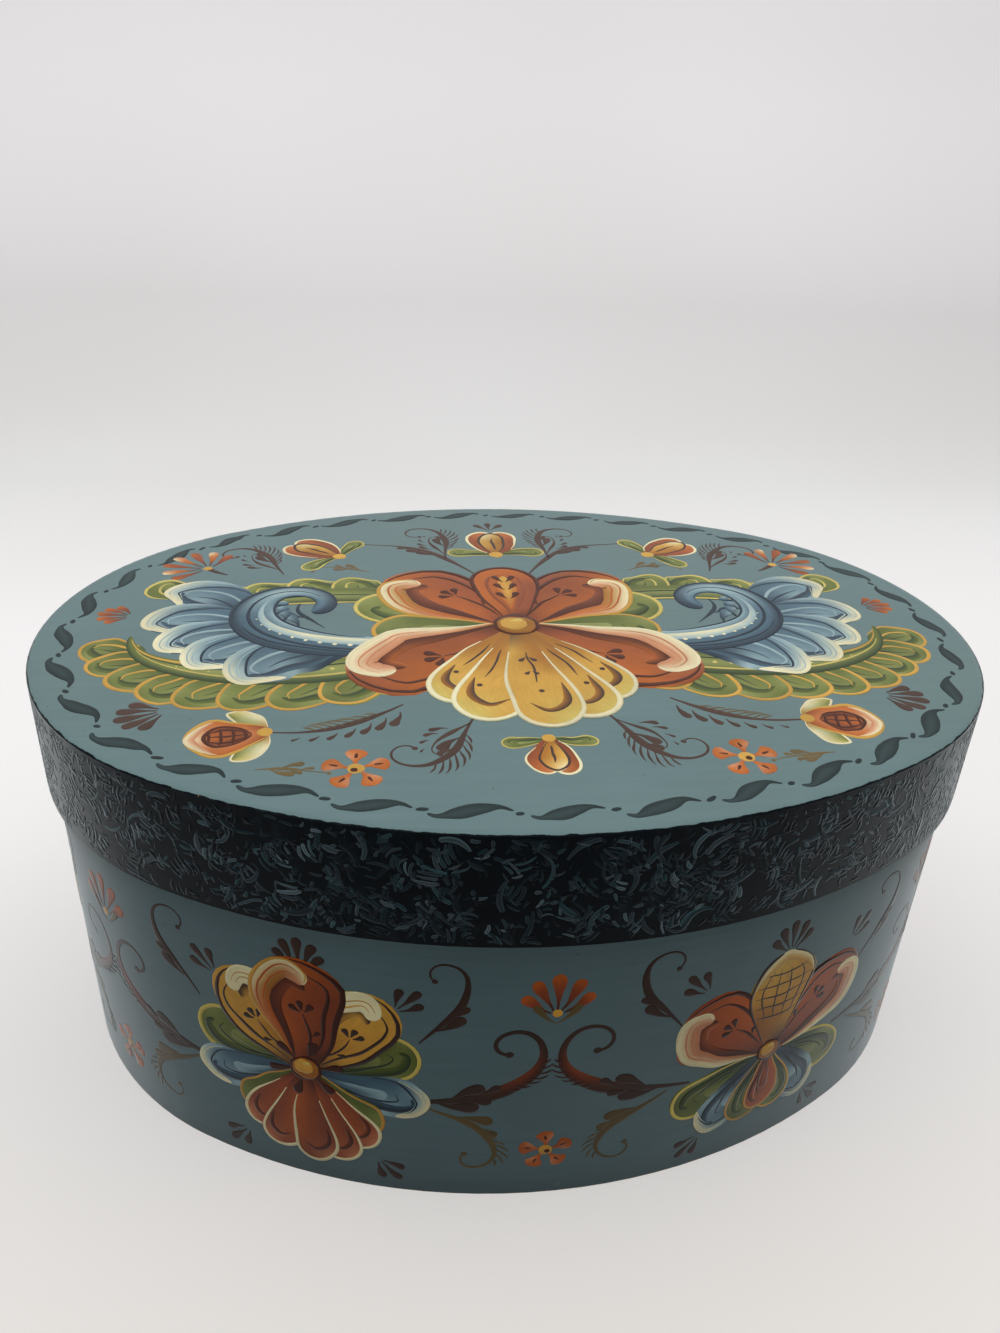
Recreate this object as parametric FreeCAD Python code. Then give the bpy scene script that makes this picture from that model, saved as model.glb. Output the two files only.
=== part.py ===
"""An oval bentwood box with a drop-over lid, in millimetres.

The box stands on the plane z = 0, with its origin at the middle of its footprint.
+X runs along the oval, +Y to the back, where both bands are lapped, and +Z up.
"""

import FreeCAD
import Part
import math
import os

# The oval of the lid's outer face: two end arcs that run into two long arcs
LID_LENGTH = 330.0
LID_WIDTH = 248.0
SHOULDER_ANGLE = 59.3  # where an end arc meets a long arc, in degrees from the X axis

# Heights and thicknesses
BOX_HEIGHT = 147.0
LID_BAND_HEIGHT = 38.0
LID_BAND_THICKNESS = 2.0
LID_BOARD_THICKNESS = 7.0
BODY_BAND_THICKNESS = 2.2
BASE_BOARD_THICKNESS = 7.0
LID_CLEARANCE = 0.6  # from the body's outer face to the lid band's inner face

# Sanded edges
LID_TOP_ROUND = 0.9
LID_LOWER_ROUND = 0.5
BODY_FOOT_ROUND = 0.6

# The bevelled lap where a band's two ends are glued over each other
LAP_LENGTH = 55.0
LAP_TIP = 0.3  # how far the outer tip stands proud of the band
LAP_BLUNT = 0.25  # thickness of the inner tip
GLUE_LINE = 0.1

# Wooden pegs that hold each board in its band
PEG_COUNT = 14
PEG_RADIUS = 1.1
PEG_LENGTH = 14.0
PEG_FIT = 0.02

# Tacks through the laps
TACK_SHANK_RADIUS = 0.6
TACK_HEAD_RADIUS = 1.9
TACK_HEAD_HEIGHT = 0.7
TACK_CLINCH = 3.0  # length of the point that is bent over inside the body
TACK_FIT = 0.02
TACK_COLUMN_STEP = 24.0  # from the first column to the second, along the lap
TACK_TIP_MARGIN = 11.0  # from the lap's outer tip to the first column
BODY_TACK_LOWEST = 20.0
BODY_TACK_PITCH = 24.0
BODY_TACK_ROWS = 4
LID_TACK_MARGIN = 9.0  # from the lid band's lower edge to the lowest tack
LID_TACK_PITCH = 16.0
LID_TACK_ROWS = 2

# Heights that follow from the sizes above
LID_BOARD_UNDERSIDE = BOX_HEIGHT - LID_BOARD_THICKNESS
LID_BAND_FOOT = BOX_HEIGHT - LID_BAND_HEIGHT
BODY_HEIGHT = LID_BOARD_UNDERSIDE  # the lid board rests on the body band's top edge

# How far inside the lid's outer face each wall's two faces lie
LID_OUTER = 0.0
LID_INNER = LID_OUTER + LID_BAND_THICKNESS
BODY_OUTER = LID_INNER + LID_CLEARANCE
BODY_INNER = BODY_OUTER + BODY_BAND_THICKNESS

UP = FreeCAD.Vector(0, 0, 1)

# The oval's four centres and radii
_shoulder = math.radians(SHOULDER_ANGLE)
_centre_gap = (LID_LENGTH - LID_WIDTH) / 2 / (math.sin(_shoulder) + math.cos(_shoulder) - 1)
END_CENTRE_X = _centre_gap * math.cos(_shoulder)
SIDE_CENTRE_Y = _centre_gap * math.sin(_shoulder)
END_RADIUS = LID_LENGTH / 2 - END_CENTRE_X
SIDE_RADIUS = LID_WIDTH / 2 + SIDE_CENTRE_Y


def polar(centre_x, centre_y, radius, degrees, z):
    """The point at that radius and angle from a centre, at height z."""
    turn = math.radians(degrees)
    return FreeCAD.Vector(centre_x + radius * math.cos(turn), centre_y + radius * math.sin(turn), z)


def arc(first, middle, last):
    """The edge of the circular arc through three points."""
    return Part.Arc(first, middle, last).toShape()


def end_arc(inset, side, z):
    """An end of the oval, counter-clockwise: side is 1 for +X and -1 for -X."""
    radius = END_RADIUS - inset
    facing = 0 if side > 0 else 180
    points = [polar(side * END_CENTRE_X, 0, radius, facing + turn, z)
              for turn in (-SHOULDER_ANGLE, 0, SHOULDER_ANGLE)]
    return arc(*points)


def side_arc(inset, side, first, last, z):
    """A stretch of a long side from one angle to another: side is 1 for +Y and -1 for -Y."""
    radius = SIDE_RADIUS - inset
    points = [polar(0, -side * SIDE_CENTRE_Y, radius, turn, z)
              for turn in (first, (first + last) / 2, last)]
    return arc(*points)


def oval_wire(inset, z):
    """The whole oval, inset from the lid's outer face."""
    shoulder = SHOULDER_ANGLE
    edges = [
        end_arc(inset, 1, z),
        side_arc(inset, 1, shoulder, 180 - shoulder, z),
        end_arc(inset, -1, z),
        side_arc(inset, -1, 180 + shoulder, 360 - shoulder, z),
    ]
    return Part.Wire(edges)


def oval_prism(inset, low, high):
    """A solid oval disc between two heights."""
    return Part.Face(oval_wire(inset, low)).extrude(UP * (high - low))


def lap_angles(inset):
    """The angles of the lap's start, at the middle of the back, and of its outer tip."""
    return 90.0, 90.0 - math.degrees(LAP_LENGTH / (SIDE_RADIUS - inset))


def lapped_strip(outer, inner, low, high):
    """A strip bent into an oval, with bevelled ends that lie over each other at the back.

    The wire runs round the outside from the outer tip, back along the bevel under it,
    round the inside from the inner tip, and along the outer end's bevel to the start.
    """
    start, tip = lap_angles(outer)
    shoulder = SHOULDER_ANGLE
    slot = math.degrees(GLUE_LINE / (SIDE_RADIUS - inner))
    outer_radius = SIDE_RADIUS - outer
    inner_radius = SIDE_RADIUS - inner

    def at(radius, degrees):
        return polar(0, -SIDE_CENTRE_Y, radius, degrees, low)

    def slanted(radius_a, degrees_a, radius_b, degrees_b):
        middle = at((radius_a + radius_b) / 2, (degrees_a + degrees_b) / 2)
        return arc(at(radius_a, degrees_a), middle, at(radius_b, degrees_b))

    def line(first, last):
        return Part.LineSegment(first, last).toShape()

    bevel_foot = inner_radius + LAP_BLUNT
    bevel_roof = bevel_foot + GLUE_LINE
    tip_roof = outer_radius + LAP_TIP
    tip_floor = outer_radius + GLUE_LINE
    edges = [
        slanted(tip_roof, tip, outer_radius, start),
        side_arc(outer, 1, start, 180 - shoulder, low),
        end_arc(outer, -1, low),
        side_arc(outer, -1, 180 + shoulder, 360 - shoulder, low),
        end_arc(outer, 1, low),
        side_arc(outer, 1, shoulder, tip, low),
        slanted(outer_radius, tip, bevel_foot, start),
        line(at(bevel_foot, start), at(inner_radius, start)),
        side_arc(inner, 1, start, shoulder, low),
        end_arc(inner, 1, low),
        side_arc(inner, -1, 360 - shoulder, 180 + shoulder, low),
        end_arc(inner, -1, low),
        side_arc(inner, 1, 180 - shoulder, start + slot, low),
        line(at(inner_radius, start + slot), at(bevel_roof, start + slot)),
        slanted(bevel_roof, start + slot, tip_floor, tip),
        line(at(tip_floor, tip), at(tip_roof, tip)),
    ]
    outline = Part.Wire(Part.__sortEdges__(edges))
    return Part.Face(outline).extrude(UP * (high - low))


def sanded(strip, outer, low, high, foot_round, top_round):
    """The strip with the outer edges of its foot and its top rounded over."""
    stock = oval_prism(outer - LAP_TIP, low, high)
    for level, size in ((low, foot_round), (high, top_round)):
        if size > 0:
            rim = [e for e in stock.Edges if all(abs(v.Z - level) < 1e-6 for v in e.Vertexes)]
            stock = stock.makeFillet(size + LAP_TIP, rim)
    return strip.common(stock)


def oval_place(inset, along):
    """The point and outward direction at a length along the oval, from the middle of the back.

    Lengths run clockwise seen from above, so a small one lies on the lap's side.
    """
    side_turn = math.radians(90 - SHOULDER_ANGLE)
    end_turn = math.radians(SHOULDER_ANGLE)
    side_radius, end_radius = SIDE_RADIUS - inset, END_RADIUS - inset
    stretches = [
        (0, -SIDE_CENTRE_Y, side_radius, math.pi / 2, side_turn),
        (END_CENTRE_X, 0, end_radius, end_turn, 2 * end_turn),
        (0, SIDE_CENTRE_Y, side_radius, -end_turn, 2 * side_turn),
        (-END_CENTRE_X, 0, end_radius, math.pi + end_turn, 2 * end_turn),
        (0, -SIDE_CENTRE_Y, side_radius, math.pi / 2 + side_turn, side_turn),
    ]
    total = sum(radius * turn for _, _, radius, _, turn in stretches)
    left = along % total
    for centre_x, centre_y, radius, first, turn in stretches:
        if left <= radius * turn:
            break
        left -= radius * turn
    angle = first - left / radius
    outward = FreeCAD.Vector(math.cos(angle), math.sin(angle), 0)
    return FreeCAD.Vector(centre_x, centre_y, 0) + outward * radius, outward


def oval_length(inset):
    """The length round the oval."""
    ends = 4 * math.radians(SHOULDER_ANGLE) * (END_RADIUS - inset)
    sides = 4 * math.radians(90 - SHOULDER_ANGLE) * (SIDE_RADIUS - inset)
    return ends + sides


def peg_rods(outer, height, radius, reach):
    """Rods at the pegs' places, from outside the band to the pegs' inner ends.

    The two pegs nearest the lap stand equally far from its two ends.
    """
    spacing = oval_length(outer) / PEG_COUNT
    rods = []
    for number in range(PEG_COUNT):
        place, outward = oval_place(outer, LAP_LENGTH / 2 + spacing * (number + 0.5))
        inner_end = place - outward * PEG_LENGTH + UP * height
        rods.append(Part.makeCylinder(radius, PEG_LENGTH + reach, inner_end, outward))
    return rods


def pegs(outer, height):
    """The pegs, each cut off flush with the band's outer face."""
    stock = oval_prism(outer, height - 2 * PEG_RADIUS, height + 2 * PEG_RADIUS)
    return [rod.common(stock) for rod in peg_rods(outer, height, PEG_RADIUS, PEG_RADIUS)]


def peg_holes(outer, height):
    """What the pegs' holes take out of a band and its board."""
    return peg_rods(outer, height, PEG_RADIUS + PEG_FIT, 2 * PEG_RADIUS)


def tack_places(outer, lowest, pitch, rows):
    """Where the tacks' heads sit on the lap: a full column near its tip, and a shorter one.

    Each place is a point on the band's sloping outer face, with the outward direction.
    """
    radius = SIDE_RADIUS - outer
    places = []
    for column, along in enumerate((LAP_LENGTH - TACK_TIP_MARGIN,
                                    LAP_LENGTH - TACK_TIP_MARGIN - TACK_COLUMN_STEP)):
        proud = LAP_TIP * along / LAP_LENGTH
        angle = math.pi / 2 - along / radius
        outward = FreeCAD.Vector(math.cos(angle), math.sin(angle), 0)
        foot = FreeCAD.Vector(0, -SIDE_CENTRE_Y, 0) + outward * (radius + proud)
        for row in range(rows - column):
            places.append((foot + UP * (lowest + pitch * (row + column / 2)), outward, proud))
    return places


def tack_head(place, outward):
    """A low dome that sits on the band's face: the cap of a larger ball."""
    ball_radius = (TACK_HEAD_RADIUS ** 2 + TACK_HEAD_HEIGHT ** 2) / (2 * TACK_HEAD_HEIGHT)
    seat = place + outward * TACK_FIT
    ball = Part.makeSphere(ball_radius, seat + outward * (TACK_HEAD_HEIGHT - ball_radius))
    return ball.common(Part.makeCylinder(2 * TACK_HEAD_RADIUS, 2 * TACK_HEAD_HEIGHT, seat, outward))


def tack(place, outward, depth, clinch):
    """A tack through the lap: head outside, and its point bent down inside if clinch is set."""
    past = depth + (TACK_SHANK_RADIUS + TACK_FIT if clinch else -TACK_FIT)
    length = past + TACK_HEAD_HEIGHT / 2
    shank = Part.makeCylinder(TACK_SHANK_RADIUS, length, place - outward * past, outward)
    solid = tack_head(place, outward).fuse(shank)
    if clinch:
        elbow = place - outward * past
        solid = solid.fuse(Part.makeSphere(TACK_SHANK_RADIUS, elbow))
        solid = solid.fuse(Part.makeCone(TACK_SHANK_RADIUS, TACK_SHANK_RADIUS / 3, clinch, elbow, -UP))
    return solid.removeSplitter()


def tacks(outer, thickness, lowest, pitch, rows, clinch):
    """All the tacks of one lap."""
    return [tack(place, outward, thickness + proud, clinch)
            for place, outward, proud in tack_places(outer, lowest, pitch, rows)]


def tack_holes(outer, thickness, lowest, pitch, rows):
    """The holes that the tacks' shanks make in a band."""
    radius = TACK_SHANK_RADIUS + TACK_FIT
    length = 2 * thickness + 2 * TACK_SHANK_RADIUS
    return [Part.makeCylinder(radius, length, place - outward * (length - thickness / 2), outward)
            for place, outward, _ in tack_places(outer, lowest, pitch, rows)]


def cut_all(solid, cutters):
    """The solid with every cutter taken out of it."""
    return solid.cut(Part.makeCompound(cutters))


def band(outer, thickness, low, high, foot_round, top_round, peg_height, tack_rule):
    """A lapped band with its peg holes and tack holes."""
    strip = lapped_strip(outer, outer + thickness, low, high)
    strip = sanded(strip, outer, low, high, foot_round, top_round)
    return cut_all(strip, peg_holes(outer, peg_height) + tack_holes(outer, thickness, *tack_rule))


def board(outer, thickness, low, high, peg_height):
    """A flat oval board that fits inside its band, with the pegs' blind holes."""
    return cut_all(oval_prism(outer + thickness, low, high), peg_holes(outer, peg_height))


def save(name, solids):
    """Writes one sub-part: a solid, or a group of separate solids."""
    shapes = [s for shape in solids for s in shape.Solids]
    whole = shapes[0] if len(shapes) == 1 else Part.makeCompound(shapes)
    whole.exportStep(os.path.join("parts", name + ".step"))
    volume = sum(s.Volume for s in shapes)
    valid = all(s.isValid() for s in shapes)
    print(f"{name}: {len(shapes)} solid(s), {volume:.0f} mm3, valid {valid}")


def main():
    os.makedirs("parts", exist_ok=True)
    base_pegs_at = BASE_BOARD_THICKNESS / 2
    lid_pegs_at = BOX_HEIGHT - LID_BOARD_THICKNESS / 2
    body_tack_rule = (BODY_TACK_LOWEST, BODY_TACK_PITCH, BODY_TACK_ROWS)
    lid_tack_rule = (LID_BAND_FOOT + LID_TACK_MARGIN, LID_TACK_PITCH, LID_TACK_ROWS)

    save("base_board", [board(BODY_OUTER, BODY_BAND_THICKNESS, 0, BASE_BOARD_THICKNESS, base_pegs_at)])
    save("body_band", [band(BODY_OUTER, BODY_BAND_THICKNESS, 0, BODY_HEIGHT, BODY_FOOT_ROUND, 0,
                            base_pegs_at, body_tack_rule)])
    save("base_pegs", pegs(BODY_OUTER, base_pegs_at))
    save("body_lap_tacks", tacks(BODY_OUTER, BODY_BAND_THICKNESS, *body_tack_rule, TACK_CLINCH))

    save("lid_board", [board(LID_OUTER, LID_BAND_THICKNESS, LID_BOARD_UNDERSIDE, BOX_HEIGHT, lid_pegs_at)])
    save("lid_band", [band(LID_OUTER, LID_BAND_THICKNESS, LID_BAND_FOOT, BOX_HEIGHT, LID_LOWER_ROUND,
                           LID_TOP_ROUND, lid_pegs_at, lid_tack_rule)])
    save("lid_pegs", pegs(LID_OUTER, lid_pegs_at))
    save("lid_lap_tacks", tacks(LID_OUTER, LID_BAND_THICKNESS, *lid_tack_rule, 0))


main()
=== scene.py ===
"""An oval bentwood box with folk painting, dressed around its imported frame.

The painting is made of brush strokes. Each one is a thin strip of paint with a flat top that
lies on the wood, with its own blended colours and streaks. Its distances are in millimetres.
"""

import math

import bpy
import numpy as np
from bpy.props import FloatProperty, FloatVectorProperty, IntProperty, PointerProperty
from bpy.types import Operator, Panel, PropertyGroup
from mathutils import Matrix, Vector


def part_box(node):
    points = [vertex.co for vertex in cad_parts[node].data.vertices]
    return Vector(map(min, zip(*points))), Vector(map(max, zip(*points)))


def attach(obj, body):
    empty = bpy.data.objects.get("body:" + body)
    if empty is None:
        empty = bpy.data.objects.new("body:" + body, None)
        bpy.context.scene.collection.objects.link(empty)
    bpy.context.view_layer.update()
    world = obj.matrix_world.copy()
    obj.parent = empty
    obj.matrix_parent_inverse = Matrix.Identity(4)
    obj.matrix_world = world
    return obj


bl_info = {
    "name": "Painted bentwood box",
    "version": (1, 0, 0),
    "blender": (4, 5, 0),
    "location": "3D View > Sidebar > Box",
    "description": "Paints and stages an oval bentwood box with a drop-over lid",
    "category": "Object",
}

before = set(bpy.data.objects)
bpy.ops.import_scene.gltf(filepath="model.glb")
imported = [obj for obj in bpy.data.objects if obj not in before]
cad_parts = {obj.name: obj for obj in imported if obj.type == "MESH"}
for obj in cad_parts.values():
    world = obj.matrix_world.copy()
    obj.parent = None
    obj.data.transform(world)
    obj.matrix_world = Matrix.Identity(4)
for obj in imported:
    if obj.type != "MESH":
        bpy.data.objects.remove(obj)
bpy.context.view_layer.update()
MM = 0.001


# The oval, worked out from the frame

SHOULDER = math.radians(59.3)  # where an end arc meets a long arc, from the X axis
LAP_LENGTH = 55.0
LAP_RISE = 0.3  # how far the lap's outer tip stands proud


def size_mm(node):
    """A node's length, width, lowest and highest point."""
    low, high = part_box(node)
    return [(high.x - low.x) / MM, (high.y - low.y) / MM, low.z / MM, high.z / MM]


LID_LENGTH, LID_WIDTH, RIM_FOOT, LID_TOP = size_mm("lid_band")
LID_FACE = 0.0  # how far each band's outer face lies inside the lid's
BODY_FACE = (LID_LENGTH - size_mm("body_band")[0]) / 2
ARC_GAP = (LID_LENGTH - LID_WIDTH) / 2 / (math.sin(SHOULDER) + math.cos(SHOULDER) - 1)
END_X = ARC_GAP * math.cos(SHOULDER)
SIDE_Y = ARC_GAP * math.sin(SHOULDER)
END_RADIUS = LID_LENGTH / 2 - END_X
SIDE_RADIUS = LID_WIDTH / 2 + SIDE_Y


def oval_length(inset):
    """The length round the oval, inset from the lid's outer face."""
    ends = 4 * SHOULDER * (END_RADIUS - inset)
    sides = 4 * (math.pi / 2 - SHOULDER) * (SIDE_RADIUS - inset)
    return ends + sides


def on_oval(along, inset):
    """Points and outward directions on the oval. Lengths run from the front middle towards +X."""
    total = oval_length(inset)
    along = (np.asarray(along, float) + total / 2) % total - total / 2
    away = np.abs(along)
    side_radius, end_radius = SIDE_RADIUS - inset, END_RADIUS - inset
    front = (math.pi / 2 - SHOULDER) * side_radius
    end = 2 * SHOULDER * end_radius
    on_front = away <= front
    on_end = (away <= front + end) & ~on_front
    angle = np.where(on_front, away / side_radius - math.pi / 2,
                     np.where(on_end, (away - front) / end_radius - SHOULDER,
                              (away - front - end) / side_radius + SHOULDER))
    centre_x = np.where(on_end, END_X, 0.0)
    centre_y = np.where(on_front, SIDE_Y, np.where(on_end, 0.0, -SIDE_Y))
    to_back = total / 2 - away
    rise = np.where((along > 0) & (to_back < LAP_LENGTH), LAP_RISE * to_back / LAP_LENGTH, 0)
    radius = np.where(on_end, end_radius, side_radius) + rise
    side = np.where(along < 0, -1.0, 1.0)
    x, y = np.cos(angle), np.sin(angle)
    return (centre_x + radius * x) * side, centre_y + radius * y, x * side, y


def wall_place(inset):
    """Maps a length round the wall, a height and a lift to a point."""
    def place(along, height, lift):
        x, y, out_x, out_y = on_oval(along, inset)
        return np.stack([x + out_x * lift, y + out_y * lift, height + 0 * lift], -1) * MM
    return place


def top_place(x, y, lift):
    """Maps a point on the lid's top and a lift to a point."""
    return np.stack([x + 0 * lift, y + 0 * lift, LID_TOP + lift], -1) * MM


def border_place(along, outward, lift):
    """Maps a length round the lid's border and a distance out from it to a point on the top."""
    x, y, out_x, out_y = on_oval(along, bpy.context.scene.box_border.inset / MM)
    return top_place(x + out_x * outward, y + out_y * outward, lift)


# Lines and shapes that a brush follows

def length_of(line):
    """A line's length."""
    return np.hypot(*np.diff(line, axis=0).T).sum()


def run_on(steps):
    """How far along each point comes after steps from the first."""
    return np.concatenate([[0], np.cumsum(steps)])


def evenly(points, step):
    """The line through points that lie close together, as points a step apart."""
    points = np.asarray(points, float)
    run = run_on(np.hypot(*np.diff(points, axis=0).T))
    at = np.linspace(0, run[-1], max(6, int(round(run[-1] / step)) + 1))
    return np.stack([np.interp(at, run, points[:, k]) for k in (0, 1)], 1)


def smooth(values, at):
    """Values on a smooth curve through a few evenly spaced ones, at shares of it or at a number of them."""
    values = np.asarray(values, float)
    at = np.linspace(0, 1, at) if np.ndim(at) == 0 else at
    if len(values) == 1:
        return np.full(len(at), values[0])
    knots = np.concatenate([2 * values[:1] - values[1:2], values, 2 * values[-1:] - values[-2:-1]])
    at = at * (len(values) - 1)
    k = np.minimum(at.astype(int), len(values) - 2)
    t = at - k
    if knots.ndim > 1:
        t = t[:, None]
    a, b, c, d = knots[k], knots[k + 1], knots[k + 2], knots[k + 3]
    return 0.5 * (2 * b + (c - a) * t + (2 * a - 5 * b + 4 * c - d) * t ** 2
                  + (3 * b - a - 3 * c + d) * t ** 3)


def sweep(x, y, heading, *legs):
    """A line that starts at a point with a heading and turns by each leg's degrees over its length."""
    run = run_on([reach for reach, _ in legs])
    at = np.linspace(0, run[-1], max(24, int(run[-1] * 2)))
    angle = np.interp(at, run, run_on([turn for _, turn in legs]))
    reach = max(1, len(at) // (3 * len(legs)))
    kernel = np.hanning(reach * 2 + 3)[1:-1]
    padded = np.concatenate([2 * angle[0] - angle[reach:0:-1], angle,
                             2 * angle[-1] - angle[-2:-reach - 2:-1]])
    angle = np.radians(heading + np.convolve(padded, kernel / kernel.sum(), "valid"))
    step = at[1] - at[0]
    return np.stack([x + run_on(np.cos(angle[:-1]) * step), y + run_on(np.sin(angle[:-1]) * step)], 1)


def widths(size, *shares):
    """A row of half widths, each a share of a size."""
    return [size * share for share in shares]


class Stroke:
    """A brush stroke's line, with its half width on the left and the right all the way along."""

    def __init__(self, run, line, left, right):
        self.run, self.line, self.left, self.right = run, line, left, right
        tangent = np.gradient(line, axis=0)
        tangent /= np.maximum(np.hypot(*tangent.T), 1e-9)[:, None]
        self.normal = np.stack([-tangent[:, 1], tangent[:, 0]], 1)

    def at(self, along, across):
        """Points at shares of the length, and at shares of the width from -1 on the right to 1."""
        along, across = np.asarray(along, float), np.asarray(across, float)
        half = np.where(across > 0, np.interp(along, self.run, self.left),
                        np.interp(along, self.run, self.right))
        points = [np.interp(along, self.run, self.line[:, k])
                  + np.interp(along, self.run, self.normal[:, k]) * across * half for k in (0, 1)]
        return np.stack(points, 1)

    def rim(self, start, end, across=0.93):
        """A line that follows the stroke's edge: up its left side, round its tip, down its right."""
        up = 1 - (1 - start) * np.linspace(1, 0, 40) ** 2
        down = 1 - (1 - end) * np.linspace(0, 1, 40)[1:] ** 2
        sides = np.concatenate([np.full(len(up), across), np.full(len(down), -across)])
        return self.at(np.concatenate([up, down]), sides)

    def path(self, *spots, side=1):
        """A smooth line through a few spots on the stroke, each a share along and a share across."""
        spots = smooth(spots, 16 * len(spots))
        return self.at(np.clip(spots[:, 0], 0, 1), spots[:, 1] * side)

    def heading(self, share):
        """A point on the stroke's line, and the line's heading there."""
        near = (share - 0.02, share) if share > 0.97 else (share, min(share + 0.02, 1.0))
        spots = self.at(near, [0, 0])
        turn = math.degrees(math.atan2(*(spots[1] - spots[0])[::-1]))
        return spots[1 if share > 0.97 else 0], turn


class Canvas:
    """Gathers the strokes on one face of the box into one mesh. Later strokes lie over earlier ones."""

    GROUND = -0.02  # the strokes' rims are sunk this far into the ground
    STEP = 0.0016  # how far each stroke lies above the last one of its motif

    def __init__(self, place, seed, first_lift=0.035, column=50.0):
        self.place = place
        self.column = column  # the widest column of a stroke's mesh, narrow on a curved face
        self.random = np.random.default_rng(seed)
        self.first_lift = first_lift
        self.parts = []
        self.count = 0
        self.at()

    def at(self, x=0.0, y=0.0, turn=0.0, scale=1.0, flip=1, lift=0.0):
        """Starts a motif: its strokes are drawn round this point, turned, scaled and maybe mirrored."""
        self.frame = (x, y, math.radians(turn), scale, flip)
        self.lift = self.first_lift + lift

    def placed(self, points):
        """Where a motif's points come on the face."""
        x, y, turn, scale, flip = self.frame
        px, py = points[..., 0] * scale * flip, points[..., 1] * scale
        return x + px * math.cos(turn) - py * math.sin(turn), y + px * math.sin(turn) + py * math.cos(turn)

    def shape(self, line, halves, start="point", tip="round", step=0.8, caps=5, wobble=0.05):
        """A stroke's shape, not painted yet. Its half widths are one row, or a left and a right row."""
        sides = halves if isinstance(halves, tuple) else (halves, halves)
        line = evenly(line, 0.3)
        reach = length_of(line)
        broad = [max(smooth(row, np.array([near]))[0] for row in sides) for near in (0.15, 0.85)]
        first, last = np.clip(broad, 0.2, reach / 2) * (start == "round", tip == "round")
        count = max(4, round((reach - first - last) * self.frame[3] / step) + 1)
        quarter = 1 - np.cos(np.linspace(0, math.pi / 2, caps + 2))
        run = np.concatenate([first * quarter, np.linspace(first, reach - last, count),
                              reach - last * quarter])
        run = np.unique(np.round(run, 4)) / reach
        share = np.linspace(0, 1, len(line))
        line = np.stack([np.interp(run, share, line[:, k]) for k in (0, 1)], 1)
        edges = []
        for row in sides:
            uneven = 1 + wobble * smooth(self.random.normal(0, 1, 6), run)
            half = np.maximum(smooth(row, run), 0.0) * uneven
            for cap, from_end in ((first, run * reach), (last, (1 - run) * reach)):
                if cap:
                    half = half * np.sqrt(1 - (1 - np.clip(from_end / cap, 0, 1)) ** 2)
            edges.append(np.maximum(half, 0.03))
        shape = Stroke(run, line, *edges)
        drift = min(0.3, 0.008 * reach) * smooth(self.random.normal(0, 1, 5), run)
        shape.line = line + shape.normal * drift[:, None]
        return shape

    def paint(self, shape, colours, side=1, sides=8):
        """Paints a shape with rows of colours from its start to its tip, each from left to right."""
        scale, run = self.frame[3], shape.run
        sides = max(sides, math.ceil((shape.left + shape.right).max() * scale / self.column))
        inner = np.linspace(-1, 1, sides + 1)
        inner[0], inner[-1] = -0.97, 0.97
        across = np.concatenate([[-1], inner, [1]])
        grid_s, grid_t = np.meshgrid(run, across, indexing="ij")
        points = shape.at(grid_s.ravel(), grid_t.ravel()).reshape(len(run), len(across), 2)
        self.lift += self.STEP
        lift = np.full(grid_s.shape, self.lift)
        lift[:, 0] = lift[:, -1] = lift[0] = lift[-1] = self.GROUND
        x, y = self.placed(points)
        colour = blend(rows(colours, side), run, (1 - across) / 2) * (1 + self.random.uniform(-0.05, 0.05))
        offset = self.random.uniform(0, 400, 2)
        middle = np.hypot(points[..., 0] - points[:, :1, 0], points[..., 1] - points[:, :1, 1])
        streak = [middle * scale + offset[0], grid_s * length_of(shape.line) * scale + offset[1]]
        on_face = self.place(x, y, lift)
        outward = (self.place(x, y, lift + 1) - on_face) / MM
        first = self.count + np.arange(grid_s.size).reshape(grid_s.shape)
        corners = (first[:-1, :-1], first[1:, :-1], first[1:, 1:], first[:-1, 1:])
        faces = np.stack(corners, -1).reshape(-1, 4)
        self.count += grid_s.size
        self.parts.append((on_face.reshape(-1, 3), faces[:, ::-1] if self.frame[4] > 0 else faces,
                           colour.reshape(-1, 3), np.stack(streak, -1).reshape(-1, 2),
                           outward.reshape(-1, 3)))

    def stroke(self, line, halves, colours, side=1, sides=8, **ends):
        """One stroke of paint. Where the side is -1, each row of colours runs from right to left."""
        shape = self.shape(line, halves, **ends)
        self.paint(shape, colours, side, sides)
        return shape

    def line(self, line, width, colour):
        """A fine line that swells to its width and thins at both ends."""
        halves = widths(width, 0.12, 0.42, 0.5, 0.42, 0.12)
        return self.stroke(line, halves, colour, sides=2, caps=2, wobble=0.14)

    def trace(self, shape, width, colour, *spots, side=1):
        """A fine line through a few spots on a stroke."""
        return self.line(shape.path(*spots, side=side), width, colour)

    def outline(self, shape, width, colour, start, end=None, across=0.93):
        """A fine line round a stroke's edge."""
        self.line(shape.rim(start, start if end is None else end, across), width, colour)

    def drop(self, x, y, heading, reach, width, colours, bend=0.0):
        """A teardrop with a fine tail, that ends round."""
        line = sweep(x, y, heading, (reach * 0.6, bend * 0.8), (reach * 0.4, bend * 0.2))
        halves = widths(width, 0.06, 0.12, 0.30, 0.48, 0.46)
        return self.stroke(line, halves, colours, step=0.9, sides=4, caps=3)

    def dot(self, x, y, radius, colour):
        """A round spot of paint."""
        line = np.linspace((x - radius, y), (x + radius, y), 12)
        self.stroke(line, [radius], colour, start="round", step=radius, sides=6, caps=4)

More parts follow.
